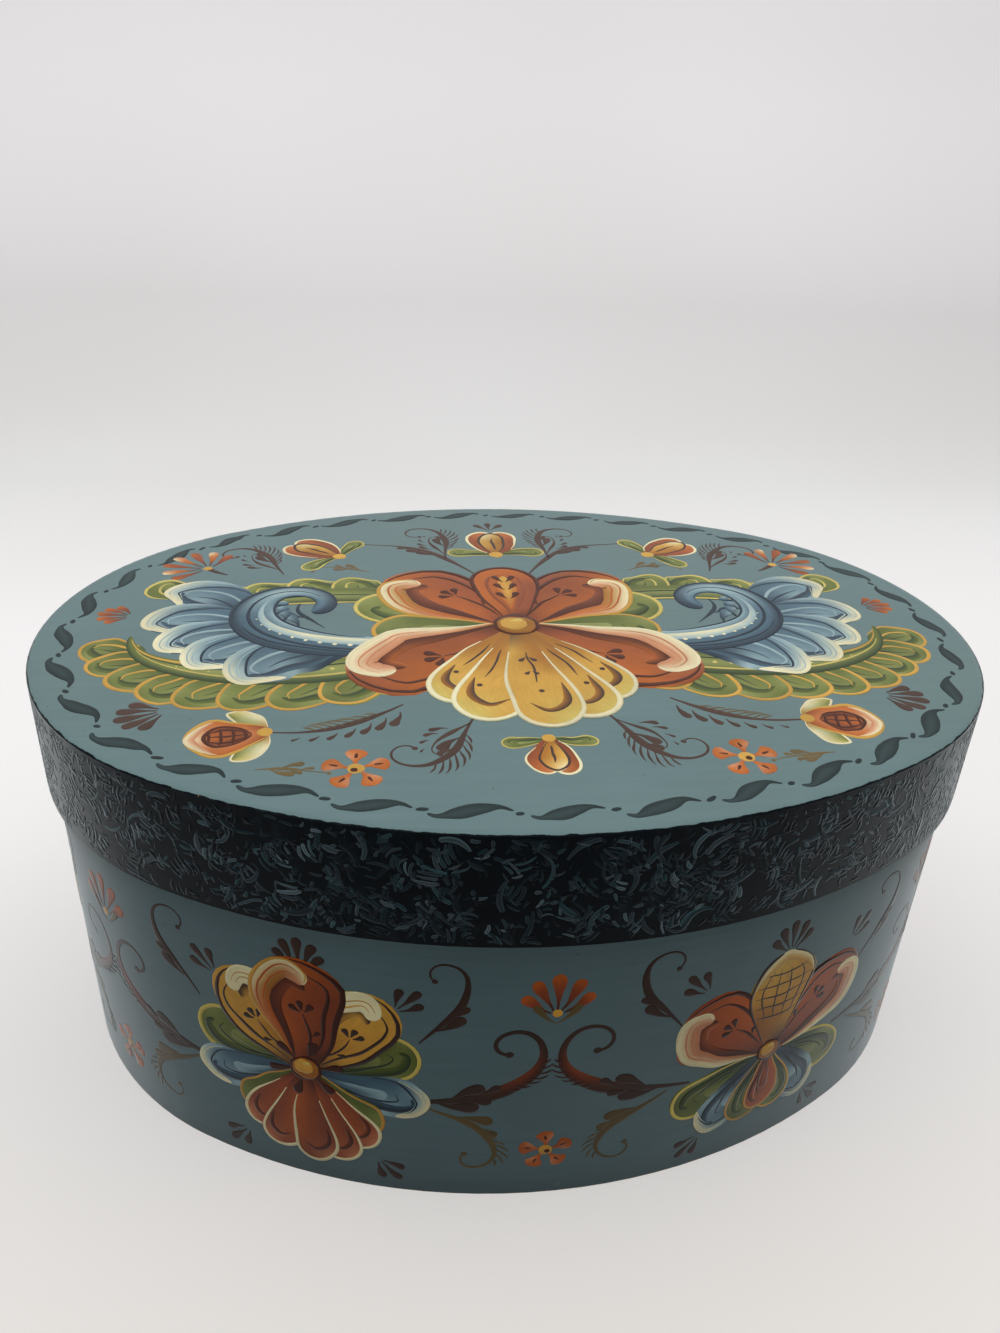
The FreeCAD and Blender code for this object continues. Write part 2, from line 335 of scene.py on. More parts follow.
    def finish(self, name, body, material_slot, material):
        """Makes the piece, and puts it on its body."""
        points, faces, colours, streaks, outward = (np.concatenate(part) for part in zip(*self.parts))
        mesh = bpy.data.meshes.new(name)
        mesh.vertices.add(len(points))
        mesh.vertices.foreach_set("co", points.astype(np.float32).ravel())
        mesh.loops.add(faces.size)
        mesh.loops.foreach_set("vertex_index", faces.astype(np.int32).ravel())
        mesh.polygons.add(len(faces))
        mesh.polygons.foreach_set("loop_start", np.arange(len(faces), dtype=np.int32) * 4)
        mesh.polygons.foreach_set("use_smooth", np.ones(len(faces), bool))
        mesh.update(calc_edges=True)
        rgba = np.concatenate([to_linear(colours), np.ones((len(colours), 1))], 1)
        for layer, key, values in (
                (mesh.color_attributes.new("paint", "FLOAT_COLOR", "POINT").data, "color", rgba),
                (mesh.attributes.new("outward", "FLOAT_VECTOR", "POINT").data, "vector", outward),
                (mesh.uv_layers.new(name="streak").uv, "vector", streaks[faces.ravel()])):
            layer.foreach_set(key, values.astype(np.float32).ravel())
        piece = bpy.data.objects.new(name, mesh)
        bpy.context.scene.collection.objects.link(piece)
        mesh.materials.append(material)
        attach(piece, body)


def blend(table, along, across):
    """Colours on a grid, blended between rows along the stroke and between the colours in each."""
    widest = max(len(row) for row in table)
    table = np.array([[row[int(round(k * (len(row) - 1) / max(widest - 1, 1)))] for k in range(widest)]
                      for row in table], float)
    for axis, at in ((0, along), (1, across)):
        if table.shape[axis] == 1:
            table = np.repeat(table, len(at), axis)
            continue
        at = np.clip(at, 0, 1) * (table.shape[axis] - 1)
        k = np.minimum(at.astype(int), table.shape[axis] - 2)
        t = at - k
        t = (t * t * (3 - 2 * t)).reshape((-1, 1, 1) if axis == 0 else (1, -1, 1))
        table = np.take(table, k, axis) * (1 - t) + np.take(table, k + 1, axis) * t
    return table


def to_linear(colour):
    """Linear light from display colours between 0 and 1."""
    colour = np.clip(np.asarray(colour, float), 0, 1)
    return np.where(colour <= 0.04045, colour / 12.92, ((colour + 0.055) / 1.055) ** 2.4)


def paint(name):
    """A paint's colour as a display colour."""
    return tuple(getattr(bpy.context.scene.box_colours, name))


def light(name):
    """A paint's colour for a shader."""
    return (*to_linear(paint(name)), 1.0)


def rows(colours, side=1):
    """Rows of colours from rows of paint names, such as "rust brick". A row may hold colours as well."""
    table = [[paint(word) for word in row.split()] if isinstance(row, str) else row
             for row in ((colours,) if isinstance(colours, str) else colours)]
    return table if side > 0 else [row[::-1] for row in table]


# Colours and sizes that a user may change

PALETTE = {
    "ground": (111, 136, 139, "Blue-grey paint of the lid's top"),
    # Painted shade: the wall's blue is the lid's blue paint made darker and a little more teal, for the
    # shade that the wall lies in
    "wall": (94, 118, 124, "The same blue-grey on the wall, a little deeper"),
    "border": (36, 50, 52, "Slate of the strokes round the lid"),
    "thin": (54, 72, 74, "Slate where those strokes are thin"),
    "rim": (3, 11, 18, "Near-black blue of the rim"),
    "fleck": (130, 148, 156, "Slate of the rim's brightest comb marks"),
    "teal": (64, 106, 112, "Blue-green of the rim's darker comb marks"),
    "rust": (192, 106, 46, "Rust orange of the petals"),
    "brick": (148, 80, 50, "Brick red of the petals"),
    "wine": (82, 40, 24, "Dark red-brown in the petals' folds"),
    "rose": (212, 144, 106, "Dusty pink where red meets cream"),
    "ochre": (218, 170, 80, "Ochre"),
    "amber": (172, 114, 46, "Darker ochre"),
    "cream": (248, 238, 196, "Cream of the turned edges"),
    "lemon": (218, 200, 112, "Pale yellow-green of the outlines"),
    "leaf": (104, 115, 55, "Olive green of the leaves"),
    "moss": (56, 72, 45, "Dark green in the leaves' folds"),
    "sage": (148, 154, 92, "Pale green"),
    "slate": (80, 108, 124, "Blue of the scrolls"),
    "navy": (42, 58, 72, "Dark blue of the scrolls' folds"),
    "sky": (160, 186, 192, "Light blue of the scrolls"),
    "umber": (78, 58, 50, "Brown of the tendrils"),
    "olive": (112, 96, 62, "Olive brown of the tendrils"),
    "wood": (214, 178, 128, "Pale bare wood"),
    "grain": (168, 122, 76, "Darker lines in the bare wood"),
    "copper": (184, 112, 78, "Tacks where the paint is worn off"),
}


class BoxColours(PropertyGroup):
    """The paints' colours."""
    __annotations__ = {
        name: FloatVectorProperty(name=name.title(), description=words, subtype="COLOR_GAMMA", size=3,
                                  min=0, max=1, default=(r / 255, g / 255, b / 255))
        for name, (r, g, b, words) in PALETTE.items()}


def length(name, description, default_mm):
    """A length property, given in millimetres."""
    return FloatProperty(name=name, description=description, default=default_mm * MM, min=0,
                         unit="LENGTH", precision=5)


def turn(name, description, default_degrees):
    """An angle property, given in degrees."""
    return FloatProperty(name=name, description=description, default=math.radians(default_degrees),
                         unit="ROTATION")


def number(name, description, default, least=0):
    """A count property."""
    return IntProperty(name=name, description=description, default=default, min=least)


class BoxBorder(PropertyGroup):
    """The row of strokes round the lid's top."""
    inset: length("Inset", "From the lid's edge to the middle of the strokes", 9.5)
    pitch: length("Pitch", "From one stroke to the next, about", 26.0)
    stroke: length("Stroke length", "Length of each stroke", 21.5)
    width: length("Stroke width", "Width of each stroke at its belly", 5.4)


class BoxRim(PropertyGroup):
    """The comb marks on the lid's band."""
    chips: number("Chips", "How many short marks there are", 3200)
    combs: number("Combs", "How many groups of parallel marks there are", 760)
    sickles: number("Sickles", "How many long curved marks there are", 420)
    margin: length("Margin", "From the band's edges to the nearest mark", 0.9)


class BoxWall(PropertyGroup):
    """The flowers round the wall."""
    groups: number("Flowers", "How many large flowers go round the wall", 6, 1)
    hub_height: length("Hub height", "Height of the flowers' middles", 50.0)
    shift: length("Shift", "From the front middle to the first flower", 75.2)


class BoxView(PropertyGroup):
    """The camera's place and turn."""
    distance: length("Distance", "From the camera to the plane through the box's middle", 397.4)
    across: length("Across", "How far the box's middle lies to the right of the camera's axis", 4.95)
    below: length("Below", "How far the box's middle lies below the camera's axis", 48.8)
    elevation: turn("Elevation", "How far the camera looks down", 28.12)
    azimuth: turn("Azimuth", "How far the box is turned from square on", 7.60)
    roll: turn("Roll", "How far the camera is tipped to one side", -2.52)
    lens: FloatProperty(name="Lens", description="Focal length", default=27.03, unit="CAMERA")


# Shader groups that several materials share

class Value:
    """A value in a shader, so that sums of values are written as sums."""

    def __init__(self, nodes, socket):
        self.nodes, self.socket = nodes, socket

    def __add__(self, other):
        return self.nodes.math("ADD", self, other)

    def __sub__(self, other):
        return self.nodes.math("SUBTRACT", self, other)

    def __rsub__(self, other):
        return self.nodes.math("SUBTRACT", other, self)

    def __mul__(self, other):
        return self.nodes.math("MULTIPLY", self, other)


class Nodes:
    """A node tree with short calls for its nodes and links."""

    def __init__(self, tree, family="ShaderNode"):
        self.tree, self.family = tree, family

    def fill(self, node, values):
        """Sets or links a node's inputs, and gives its outputs."""
        for key, value in values.items():
            value = getattr(value, "socket", value)
            if isinstance(value, bpy.types.NodeSocket):
                self.tree.links.new(value, node.inputs[key])
            else:
                node.inputs[key].default_value = value
        sockets = (*enumerate(node.outputs), *node.outputs.items())
        return {key: Value(self, socket) for key, socket in sockets}

    def add(self, kind, values=None, **settings):
        """The outputs of a new node, by number and name, with its settings and inputs."""
        node = self.tree.nodes.new(self.family + kind)
        for name, value in settings.items():
            setattr(node, name, value)
        return self.fill(node, values or {})

    def group(self, name, values):
        """The outputs of a shared group with its own values."""
        node = self.tree.nodes.new("ShaderNodeGroup")
        node.node_tree = bpy.data.node_groups.get(name) or new_group(name)
        return self.fill(node, values)

    def math(self, operation, a, b=0.0, clamp=False):
        """The result of a sum."""
        return self.add("Math", {0: a, 1: b}, operation=operation, use_clamp=clamp)[0]

    def vector(self, operation, a, b=(0, 0, 0), out=0):
        """The result of a sum of vectors."""
        return self.add("VectorMath", {0: a, 1: b}, operation=operation)[out]

    def scaled(self, colour, tone):
        """A colour made lighter or darker."""
        return self.add("VectorMath", {0: colour, "Scale": tone}, operation="SCALE")[0]

    def axis(self, vector, which):
        """One part of a vector."""
        return self.add("SeparateXYZ", {0: vector})[which]

    def ramp(self, value, low, high):
        """0 below low, 1 above high, and smooth between. High may be the smaller."""
        values = {"Value": value, "From Min": low, "From Max": high}
        return self.add("MapRange", values, interpolation_type="SMOOTHSTEP")["Result"]

    def mix(self, factor, a, b, how="MIX"):
        """Two colours mixed."""
        return self.add("Mix", {0: factor, 6: a, 7: b}, data_type="RGBA", blend_type=how)[2]

    def mix_numbers(self, factor, a, b):
        """Two numbers mixed."""
        return self.add("Mix", {0: factor, 2: a, 3: b}, data_type="FLOAT")[0]

    def noise(self, vector, scale, detail=3.0, stretch=None, rough=0.55):
        """A noise between 0 and 1, about 0.5."""
        if stretch is not None:
            vector = self.vector("MULTIPLY", vector, stretch)
        values = {"Vector": vector, "Scale": scale, "Detail": detail, "Roughness": rough}
        return self.add("TexNoise", values)[0]

    def bump(self, height, strength, depth):
        """A normal that follows a height."""
        return self.add("Bump", {"Height": height, "Strength": strength, "Distance": depth})[0]

    def principled(self, **values):
        """The shader at the material's end. Its inputs' names are written with _ for a space."""
        shader = self.add("BsdfPrincipled", {key.replace("_", " "): value for key, value in values.items()})
        self.add("OutputMaterial", {0: shader[0]})


DUST = (0.03, 0.04, 0.045, 1)
PORE = (0.12, 0.06, 0.03, 1)
STAIN = (0.35, 0.22, 0.12, 1)
# the near-black that the wall's colour is mixed towards near its bottom
BOTTOM_DARKENING = (0.05, 0.06, 0.06, 1)
WARM_TINT = (1.08, 1.01, 0.96, 1)
FINE_STREAKS, BROAD_STREAKS = (3.2, 0.16, 1.0), (0.9, 0.12, 1.0)


def brushed_ground(n, given):
    """Hand-brushed ground paint: mottled colour, brush marks, specks and their height."""
    place = given["Position"]
    marks = n.noise(place, 1.0, 4.0, given["Brush Stretch"], 0.6)
    cloud = n.noise(place, 22.0)
    patch = n.noise(place, 6.0, 1.0)
    fine = n.noise(place, 1500.0, 2.0)
    tone = (marks - 0.5) * 0.26 + (cloud - 0.5) * 0.30 + (fine - 0.5) * 0.05
    shaded = n.scaled(given["Colour"], tone * given["Contrast"] + 1.0)
    warm = n.mix(n.ramp(patch, 0.35, 0.7) * 0.6, shaded, WARM_TINT, "MULTIPLY")
    cell = n.add("TexVoronoi", {"Vector": place, "Scale": 210.0}, feature="F1")
    chosen = n.ramp(n.add("SeparateColor", {0: cell["Color"]})[0], 0.86, 0.88)
    speck = n.ramp(cell["Distance"], 0.075, 0.045) * chosen * 0.55
    return {"Colour": n.mix(speck, warm, DUST), "Roughness": marks * 0.16 + 0.30 + (cloud - 0.5) * 0.20,
            "Height": marks * 0.6 + fine * 0.25 + speck * 0.8}


def bare_wood(n, given):
    """Bare softwood: growth lines along one way, pores and their height."""
    place, stretch = given["Position"], given["Grain Stretch"]
    moved = n.vector("ADD", n.vector("MULTIPLY", place, stretch), n.noise(place, 9.0, 2.0) * 1.8)
    lines = n.noise(moved, 1.0, 5.0, None, 0.62)
    rings = n.math("FRACT", n.noise(moved, 0.35, 1.0) * 9.0)
    ring = n.ramp(rings, 0.0, 0.85) * n.ramp(rings, 1.0, 0.88)
    pore = n.ramp(n.noise(place, 1.0, 2.0, n.vector("MULTIPLY", stretch, (12, 12, 12)), 0.5), 0.66, 0.78)
    amount = ring * 0.5 + n.ramp(lines, 0.38, 0.7) * 0.45
    colour = n.mix(pore * 0.35, n.mix(amount, given["Pale"], given["Dark"]), PORE)
    stain = n.ramp(n.noise(place, 14.0), 0.35, 0.75)
    return {"Colour": n.mix(stain * 0.18, colour, STAIN), "Roughness": amount * -0.12 + 0.66,
            "Height": pore * -0.6 + amount * 0.5}


def band_faces(n, given):
    """Masks for a band's faces: 1 on its outer side, 1 on faces that look up, 1 that look down."""
    level = n.vector("NORMALIZE", n.vector("MULTIPLY", given["Position"], (1, 1, 0)))
    outward = n.vector("DOT_PRODUCT", level, given["Facing"], "Value")
    rise = n.axis(given["Facing"], 2)
    return {"Outer": n.ramp(outward, 0.0, 0.1), "Up": n.ramp(rise, 0.35, 0.75),
            "Down": n.ramp(rise, -0.35, -0.75)}


def bristles(n, given):
    """Streaks that a brush's bristles leave along a stroke, and their height."""
    streak = n.noise(given["Along Stroke"], 1.0, 3.0, FINE_STREAKS, 0.6)
    broad = n.noise(given["Along Stroke"], 1.0, 2.0, BROAD_STREAKS, 0.5)
    tone = streak - 0.5 + (broad - 0.5) * 0.7
    return {"Colour": n.scaled(given["Colour"], tone * given["Strength"] + 1.0),
            "Roughness": streak * 0.18 + 0.30, "Height": broad * 0.4 + streak}


def inside_oval(n, given):
    """How far a point lies inside the lid's outer face, from the same four arcs as the oval."""
    quarter = n.vector("ABSOLUTE", n.vector("MULTIPLY", given["Position"], (1, 1, 0)))
    end_side = (n.axis(quarter, 0) - END_X * MM) * math.sin(SHOULDER)
    on_end = n.math("GREATER_THAN", end_side, n.axis(quarter, 1) * math.cos(SHOULDER))
    arcs = ((SIDE_RADIUS, (0, -SIDE_Y * MM, 0)), (END_RADIUS, (END_X * MM, 0, 0)))
    side, end = (radius * MM - n.vector("DISTANCE", quarter, centre, "Value") for radius, centre in arcs)
    return {"Depth": n.mix_numbers(on_end, side, end)}


GROUPS = {
    "brushed_ground": (brushed_ground, {"Position": "Vector", "Brush Stretch": "Vector", "Colour": "Color",
                                        "Contrast": "Float"}),
    "bare_wood": (bare_wood, {"Position": "Vector", "Grain Stretch": "Vector", "Pale": "Color",
                              "Dark": "Color"}),
    "band_faces": (band_faces, {"Position": "Vector", "Facing": "Vector"}),
    "bristles": (bristles, {"Along Stroke": "Vector", "Colour": "Color", "Strength": "Float"}),
    "inside_oval": (inside_oval, {"Position": "Vector"}),
}


def new_group(name):
    """Builds a shared shader group."""
    tree = bpy.data.node_groups.new(name, "ShaderNodeTree")
    make, inputs = GROUPS[name]
    for label, kind in inputs.items():
        tree.interface.new_socket(name=label, in_out="INPUT", socket_type="NodeSocket" + kind)
    n = Nodes(tree)
    results = make(n, n.fill(tree.nodes.new("NodeGroupInput"), {}))
    for label in results:
        kind = "NodeSocketColor" if label == "Colour" else "NodeSocketFloat"
        tree.interface.new_socket(name=label, in_out="OUTPUT", socket_type=kind)
    n.fill(tree.nodes.new("NodeGroupOutput"), results)
    return tree


# Materials

ROUND_WALL, ALONG_LID, ROUND_RIM, ANY_WAY = (22, 22, 520), (22, 420, 22), (120, 120, 260), (120, 120, 120)
BAND_GRAIN, BOARD_GRAIN, END_GRAIN = (9, 9, 170), (7, 130, 130), (300, 300, 300)
MATT = 0.03  # specular level of the wall's and the rim's paint
HAZE, HAZE_FALLOFF = 2.4, 2.4  # how strong their pale haze is, and how fast it fades off the slant
HAZE_TINT = (0.90, 0.97, 1.0, 1)
WALL_BUMP = (0.35, 0.00012)  # strength and depth in metres
SHARP_EDGE = math.radians(28)  # edges with a larger angle stay sharp


def empty_nodes(owner):
    """The emptied nodes of a material or a world."""
    owner.use_nodes = True
    owner.node_tree.nodes.clear()
    return Nodes(owner.node_tree)


def new_material(name):
    """An empty material, its nodes, and where its surface lies and faces."""
    material = bpy.data.materials.new(name)
    n = empty_nodes(material)
    where = n.add("TexCoord")
    return material, n, where["Object"], where["Normal"]


def ground(n, position, name, stretch, contrast):
    """Brushed paint of one colour."""
    return n.group("brushed_ground", {"Position": position, "Brush Stretch": stretch, "Colour": light(name),
                                      "Contrast": contrast})


def wood(n, position, stretch, pale="wood", dark="grain"):
    """Bare wood whose grain runs one way."""
    return n.group("bare_wood", {"Position": position, "Grain Stretch": stretch, "Pale": light(pale),
                                 "Dark": light(dark)})


def cover(n, amount, under, over):
    """One finish laid over another."""
    return {part: n.mix(amount, under[part], over[part]) for part in ("Colour", "Roughness", "Height")}


def close_surface(n, finish, bump, specular=0.5, hazy=False, outward=None):
    """The material's end, with a bump and maybe a haze where it is seen at a slant."""
    values = {}
    if hazy:
        facing = {"Blend": 0.5} if outward is None else {"Blend": 0.5, "Normal": outward}
        slant = n.math("POWER", n.add("LayerWeight", facing)["Facing"], HAZE_FALLOFF)
        values = {"Sheen_Weight": n.math("MULTIPLY", slant, HAZE, clamp=True), "Sheen_Roughness": 0.4,
                  "Sheen_Tint": HAZE_TINT}
    n.principled(Base_Color=finish["Colour"], Roughness=finish["Roughness"], Specular_IOR_Level=specular,
                 Normal=n.bump(finish["Height"], *bump), **values)


def wall_material():
    """Blue paint outside, a darker copy of the lid's blue as painted shade, bare wood inside and on the
    worn edges, and darker towards the bottom.
    """
    material, n, position, facing = new_material("wall_paint")
    faces = n.group("band_faces", {"Position": position, "Facing": facing})
    height = n.axis(position, 2)
    foot = n.ramp(n.noise(position, 260.0) * 0.0012 + height, 0.0011, 0.0006)
    painted = faces["Outer"] * (1.0 - foot) * (1.0 - faces["Up"])
    # Painted shade: the wall's paint is the darker wall blue, the lid's paint shaded
    finish = cover(n, painted, wood(n, position, BAND_GRAIN), ground(n, position, "wall", ROUND_WALL, 1.0))
    # darker towards the bottom: the wall's colour is mixed a quarter of the way to near-black at the floor,
    # fading out 12 mm up
    finish["Colour"] = n.mix(n.ramp(height, 0.012, 0.0) * 0.25, finish["Colour"], BOTTOM_DARKENING)
    close_surface(n, finish, WALL_BUMP, MATT, hazy=True)
    return material


def lid_board_material():
    """Blue paint on top and bare wood underneath."""
    material, n, position, facing = new_material("lid_top_paint")
    up = n.ramp(n.axis(facing, 2), 0.0, 0.3)
    painted = ground(n, position, "ground", ALONG_LID, 0.75)
    close_surface(n, cover(n, up, wood(n, position, BOARD_GRAIN), painted), (0.3, 0.0001), 0.13)
    return material


def rim_material():
    """Near-black paint outside, blue on the top edge, bare wood inside."""
    material, n, position, facing = new_material("rim_paint")
    faces = n.group("band_faces", {"Position": position, "Facing": facing})
    dark = ground(n, position, "rim", ROUND_RIM, 2.2)
    mottle = n.ramp(n.noise(position, 190.0, 5.0, None, 0.7), 0.47, 0.72)
    faint = mottle * n.ramp(n.noise(position, 60.0), 0.35, 0.65) * 0.05
    dark["Colour"] = n.mix(faint, dark["Colour"], light("fleck"))
    finish = cover(n, faces["Outer"] * (1.0 - faces["Down"]), wood(n, position, BAND_GRAIN), dark)
    ragged = (n.noise(position, 260.0) - 0.5) * 0.0012
    depth = n.group("inside_oval", {"Position": position})["Depth"]
    above = n.ramp(depth + ragged, 0.0004, 0.0006) * n.ramp(n.axis(facing, 2), 0.55, 0.8)
    finish = cover(n, above, finish, ground(n, position, "ground", ALONG_LID, 0.75))
    close_surface(n, finish, (0.5, 0.00015), MATT, hazy=True)
    return material


def board_material():
    """The base board: bare wood all over."""
    material, n, position, _ = new_material("base_wood")
    close_surface(n, wood(n, position, BOARD_GRAIN), (0.35, 0.00015))
    return material


def peg_material(name, paint_name):
    """Pegs: painted with the band outside, and end grain behind."""
    material, n, position, facing = new_material(name)
    faces = n.group("band_faces", {"Position": position, "Facing": facing})
    finish = ground(n, position, paint_name, ROUND_WALL, 1.0)
    bare = wood(n, position, END_GRAIN, "grain", "umber")
    finish["Colour"] = n.mix(faces["Outer"], bare["Colour"], finish["Colour"])
    close_surface(n, finish, WALL_BUMP, MATT, hazy=True)
    return material


def tack_material(name, paint_name):
    """Copper tacks, painted over with the band and worn bright on their crowns."""
    material, n, position, facing = new_material(name)
    faces = n.group("band_faces", {"Position": position, "Facing": facing})
    scratch = n.noise(position, 900.0)
    worn = 1.0 - faces["Outer"] * n.ramp(scratch, 0.34, 0.46)
    tarnish = n.mix(n.noise(position, 700.0, 2.0), light("copper"), light("umber"))
    painted = ground(n, position, paint_name, ANY_WAY, 1.3)
    n.principled(Base_Color=n.mix(worn, painted["Colour"], tarnish), Roughness=scratch * 0.3 + 0.25,
                 Metallic=worn, Normal=n.bump(scratch, 0.4, 0.0001))
    return material


def stroke_material(name, strength, gloss, hazy=False, shade_gamma=1.0):
    """Artists' paint with the colours of its strokes. A shade gamma above 1 darkens the colours, a painted
    shade.
    """
    material, n, position, _ = new_material(name)
    colour = n.add("VertexColor", layer_name="paint")["Color"]
    streak = n.add("UVMap", uv_map="streak")[0]
    finish = n.group("bristles", {"Along Stroke": streak, "Colour": colour, "Strength": strength})
    finish["Colour"] = n.scaled(finish["Colour"], (n.noise(position, 90.0) - 0.5) * 0.35 + 1.0)
    # painted shade: a gamma above 1 darkens the strokes' colours
    if shade_gamma != 1:
        finish["Colour"] = n.add("Gamma", {"Color": finish["Colour"], "Gamma": shade_gamma})[0]
    outward = n.add("Attribute", attribute_name="outward")["Vector"] if hazy else None
    close_surface(n, finish, WALL_BUMP, gloss, hazy, outward)
    return material


def smooth_curves():
    """A modifier's nodes that shade curved faces smoothly and keep the sharp edges."""
    tree = bpy.data.node_groups.new("smooth_curves", "GeometryNodeTree")
    for way in ("INPUT", "OUTPUT"):
        tree.interface.new_socket(name="Geometry", in_out=way, socket_type="NodeSocketGeometry")
    n = Nodes(tree, "")
    given = n.add("NodeGroupInput")
    merged = n.add("GeometryNodeMergeByDistance", {"Geometry": given[0], "Distance": 1e-6})
    faces = n.add("GeometryNodeSetShadeSmooth", {"Geometry": merged[0]})
    angle = n.add("GeometryNodeInputMeshEdgeAngle")["Unsigned Angle"]
    even = n.add("FunctionNodeCompare", {"A": angle, "B": SHARP_EDGE}, operation="LESS_THAN")
    edges = n.add("GeometryNodeSetShadeSmooth", {"Geometry": faces[0], "Shade Smooth": even[0]},
                  domain="EDGE")
    n.add("NodeGroupOutput", {0: edges[0]})
    return tree


# Motifs of the painting, each drawn round the canvas's present point

# Where the random draws of each painting start
BORDER_SEED, LID_SEED, WALL_SEED, RIM_SEED = 11, 21, 41, 61


class Look:
    """A petal's paints: rows for its body and for its turned lip, its fold and its edge."""

    def __init__(self, fold, edge, body, lip):
        self.fold, self.edge, self.body, self.lip = fold, edge, body, lip
        self.root = body[0].split()[1]
        self.inner, self.outer = body[1].split()
        self.light = body[2].split()[1]
        self.hair, self.lip_hair = lip[1].split()[0], lip[1].split()[-1]


GREEN_BODY = ("moss leaf", "leaf moss", "leaf sage", "sage leaf")
LOOKS = {
    "brick": Look("wine", "cream", ("wine brick", "brick rust", "brick rust", "rose brick"),
                  ("rose amber", "cream rose", "cream rose", "cream rose")),
    "rust": Look("wine", "ochre", ("brick wine", "rust brick", "rust brick", "rust rust"),
                 ("amber rust", "rose rust", "cream amber", "cream rose")),
    "ochre": Look("umber", "cream", ("amber umber", "amber ochre", "ochre ochre", "lemon ochre"),
                  ("ochre amber", "cream ochre", "cream", "cream")),
    "green": Look("moss", "lemon", GREEN_BODY, ("leaf sage", "lemon sage", "lemon", "cream lemon")),
    "gold": Look("moss", "ochre", GREEN_BODY, ("amber leaf", "ochre leaf", "ochre lemon", "ochre")),
    "blue": Look("navy", "sky", ("navy slate", "slate navy", "slate sky", "sky slate"),
                 ("slate navy", "sky slate", "cream sky", "cream")),
}
FRUIT_RED = ("wine", "brick", "rust")


def around(reach, degrees):
    """The point that lies this far from the motif's middle in a direction."""
    angle = math.radians(degrees)
    return reach * math.cos(angle), reach * math.sin(angle)


def petal_body(c, heading, reach, width, kind, side, bend):
    """A petal's first coat, broad towards a round tip."""
    line = sweep(0, 0, heading, (reach * 0.5, side * bend * 0.35), (reach * 0.5, side * bend * 0.65))
    return c.stroke(line, widths(width, 0.08, 0.27, 0.43, 0.52, 0.50), LOOKS[kind].body, side, step=1.0)


def lip_petal(c, heading, reach, width, kind, side=1, bend=24):
    """A large petal whose edge is turned over into a pale comma on one side."""
    look, w = LOOKS[kind], width * 0.01
    body = petal_body(c, heading, reach, width, kind, side, bend)
    c.trace(body, 5 * w + 0.3, look.fold, (0.04, -0.95), (0.4, -0.95), (0.75, -0.94), (0.93, -0.72),
            (0.98, -0.2), side=side)
    c.trace(body, 4 * w + 0.2, look.fold, (0.12, -0.45), (0.45, -0.66), (0.74, -0.66), (0.86, -0.36),
            side=side)
    stem = c.trace(body, 3.4 * w, look.fold, (0.14, -0.05), (0.34, -0.20), (0.52, -0.14), side=side)
    spot, turn = stem.heading(1.0)
    for lean in (62, 4, -54):
        c.drop(*spot, turn + lean, 17 * w, 9 * w, look.fold, -0.3 * lean)
    spot, turn = stem.heading(0.45)
    c.drop(*spot, turn - side * 58, 14 * w, 7 * w, look.fold, side * 20)
    fold = body.path((0.08, 0.80), (0.34, 0.66), (0.58, 0.54), (0.74, 0.34), (0.79, 0.04), (0.72, -0.20),
                     side=side)
    c.stroke(fold, [0.2, 4 * w, 7.5 * w, 9 * w, 8.5 * w, 5 * w],
             (look.fold, f"{look.fold} {look.outer}"), side, 6)
    lip = body.path((0.05, 0.98), (0.28, 0.95), (0.52, 0.88), (0.73, 0.74), (0.87, 0.46), (0.905, 0.10),
                    (0.85, -0.16), (0.77, -0.22), side=side)
    lip = c.stroke(lip, [0.3, 2.6 * w, 5.6 * w, 9 * w, 12 * w, 13.5 * w, 12.5 * w, 9 * w], look.lip, side,
                   step=0.9)
    for k in range(2):
        across = 0.30 - 0.55 * k
        c.trace(lip, 1.9 * w + 0.12, look.lip_hair, (0.34 + 0.12 * k, across), (0.62, across - 0.12),
                (0.93, across), side=side)
    c.trace(lip, 3.4 * w + 0.25, look.edge, (0.03, 0.90), (0.35, 0.90), (0.7, 0.90), (0.92, 0.84),
            (0.985, 0.3), side=side)


def nested_petal(c, heading, reach, width, kind, side=1, bend=20, crest=False):
    """A petal of crescents inside each other, with a fine light edge or a broad pale crest."""
    look, w = LOOKS[kind], width * 0.01
    body = petal_body(c, heading, reach, width, kind, side, bend)
    shade = body.path((0.10, -0.2), (0.45, -0.42), (0.74, -0.52), (0.88, -0.26), (0.86, 0.10), side=side)
    c.stroke(shade, [0.1, 5 * w, 9 * w, 9 * w, 4 * w], f"{look.inner} {look.fold}", side, 5)
    c.stroke(body.path((0.14, 0.15), (0.45, 0.12), (0.68, 0.10), side=side), [0.1, 9 * w, 12 * w],
             (look.root, f"{look.light} {look.inner}", look.light), side, 5)
    c.trace(body, 4 * w + 0.2, look.fold, (0.14, -0.15), (0.5, -0.28), (0.76, -0.12), (0.76, 0.24),
            side=side)
    if crest:
        lip = body.path((0.50, 0.97), (0.74, 0.86), (0.91, 0.52), (0.955, -0.05), (0.90, -0.62),
                        (0.76, -0.93), side=side)
        lip = c.stroke(lip, [0.3, 5 * w, 10 * w, 13 * w, 10 * w, 3 * w], look.lip, side, step=0.9)
        c.trace(lip, 3 * w + 0.2, look.fold, (0.15, -0.7), (0.55, -0.85), (0.9, -0.7), side=side)
        c.trace(lip, 2 * w, "cream", (0.25, 0.2), (0.55, 0.25), (0.85, 0.1), side=side)
    else:
        c.outline(body, 5.5 * w + 0.3, look.edge, 0.04, 0.06, 0.94)


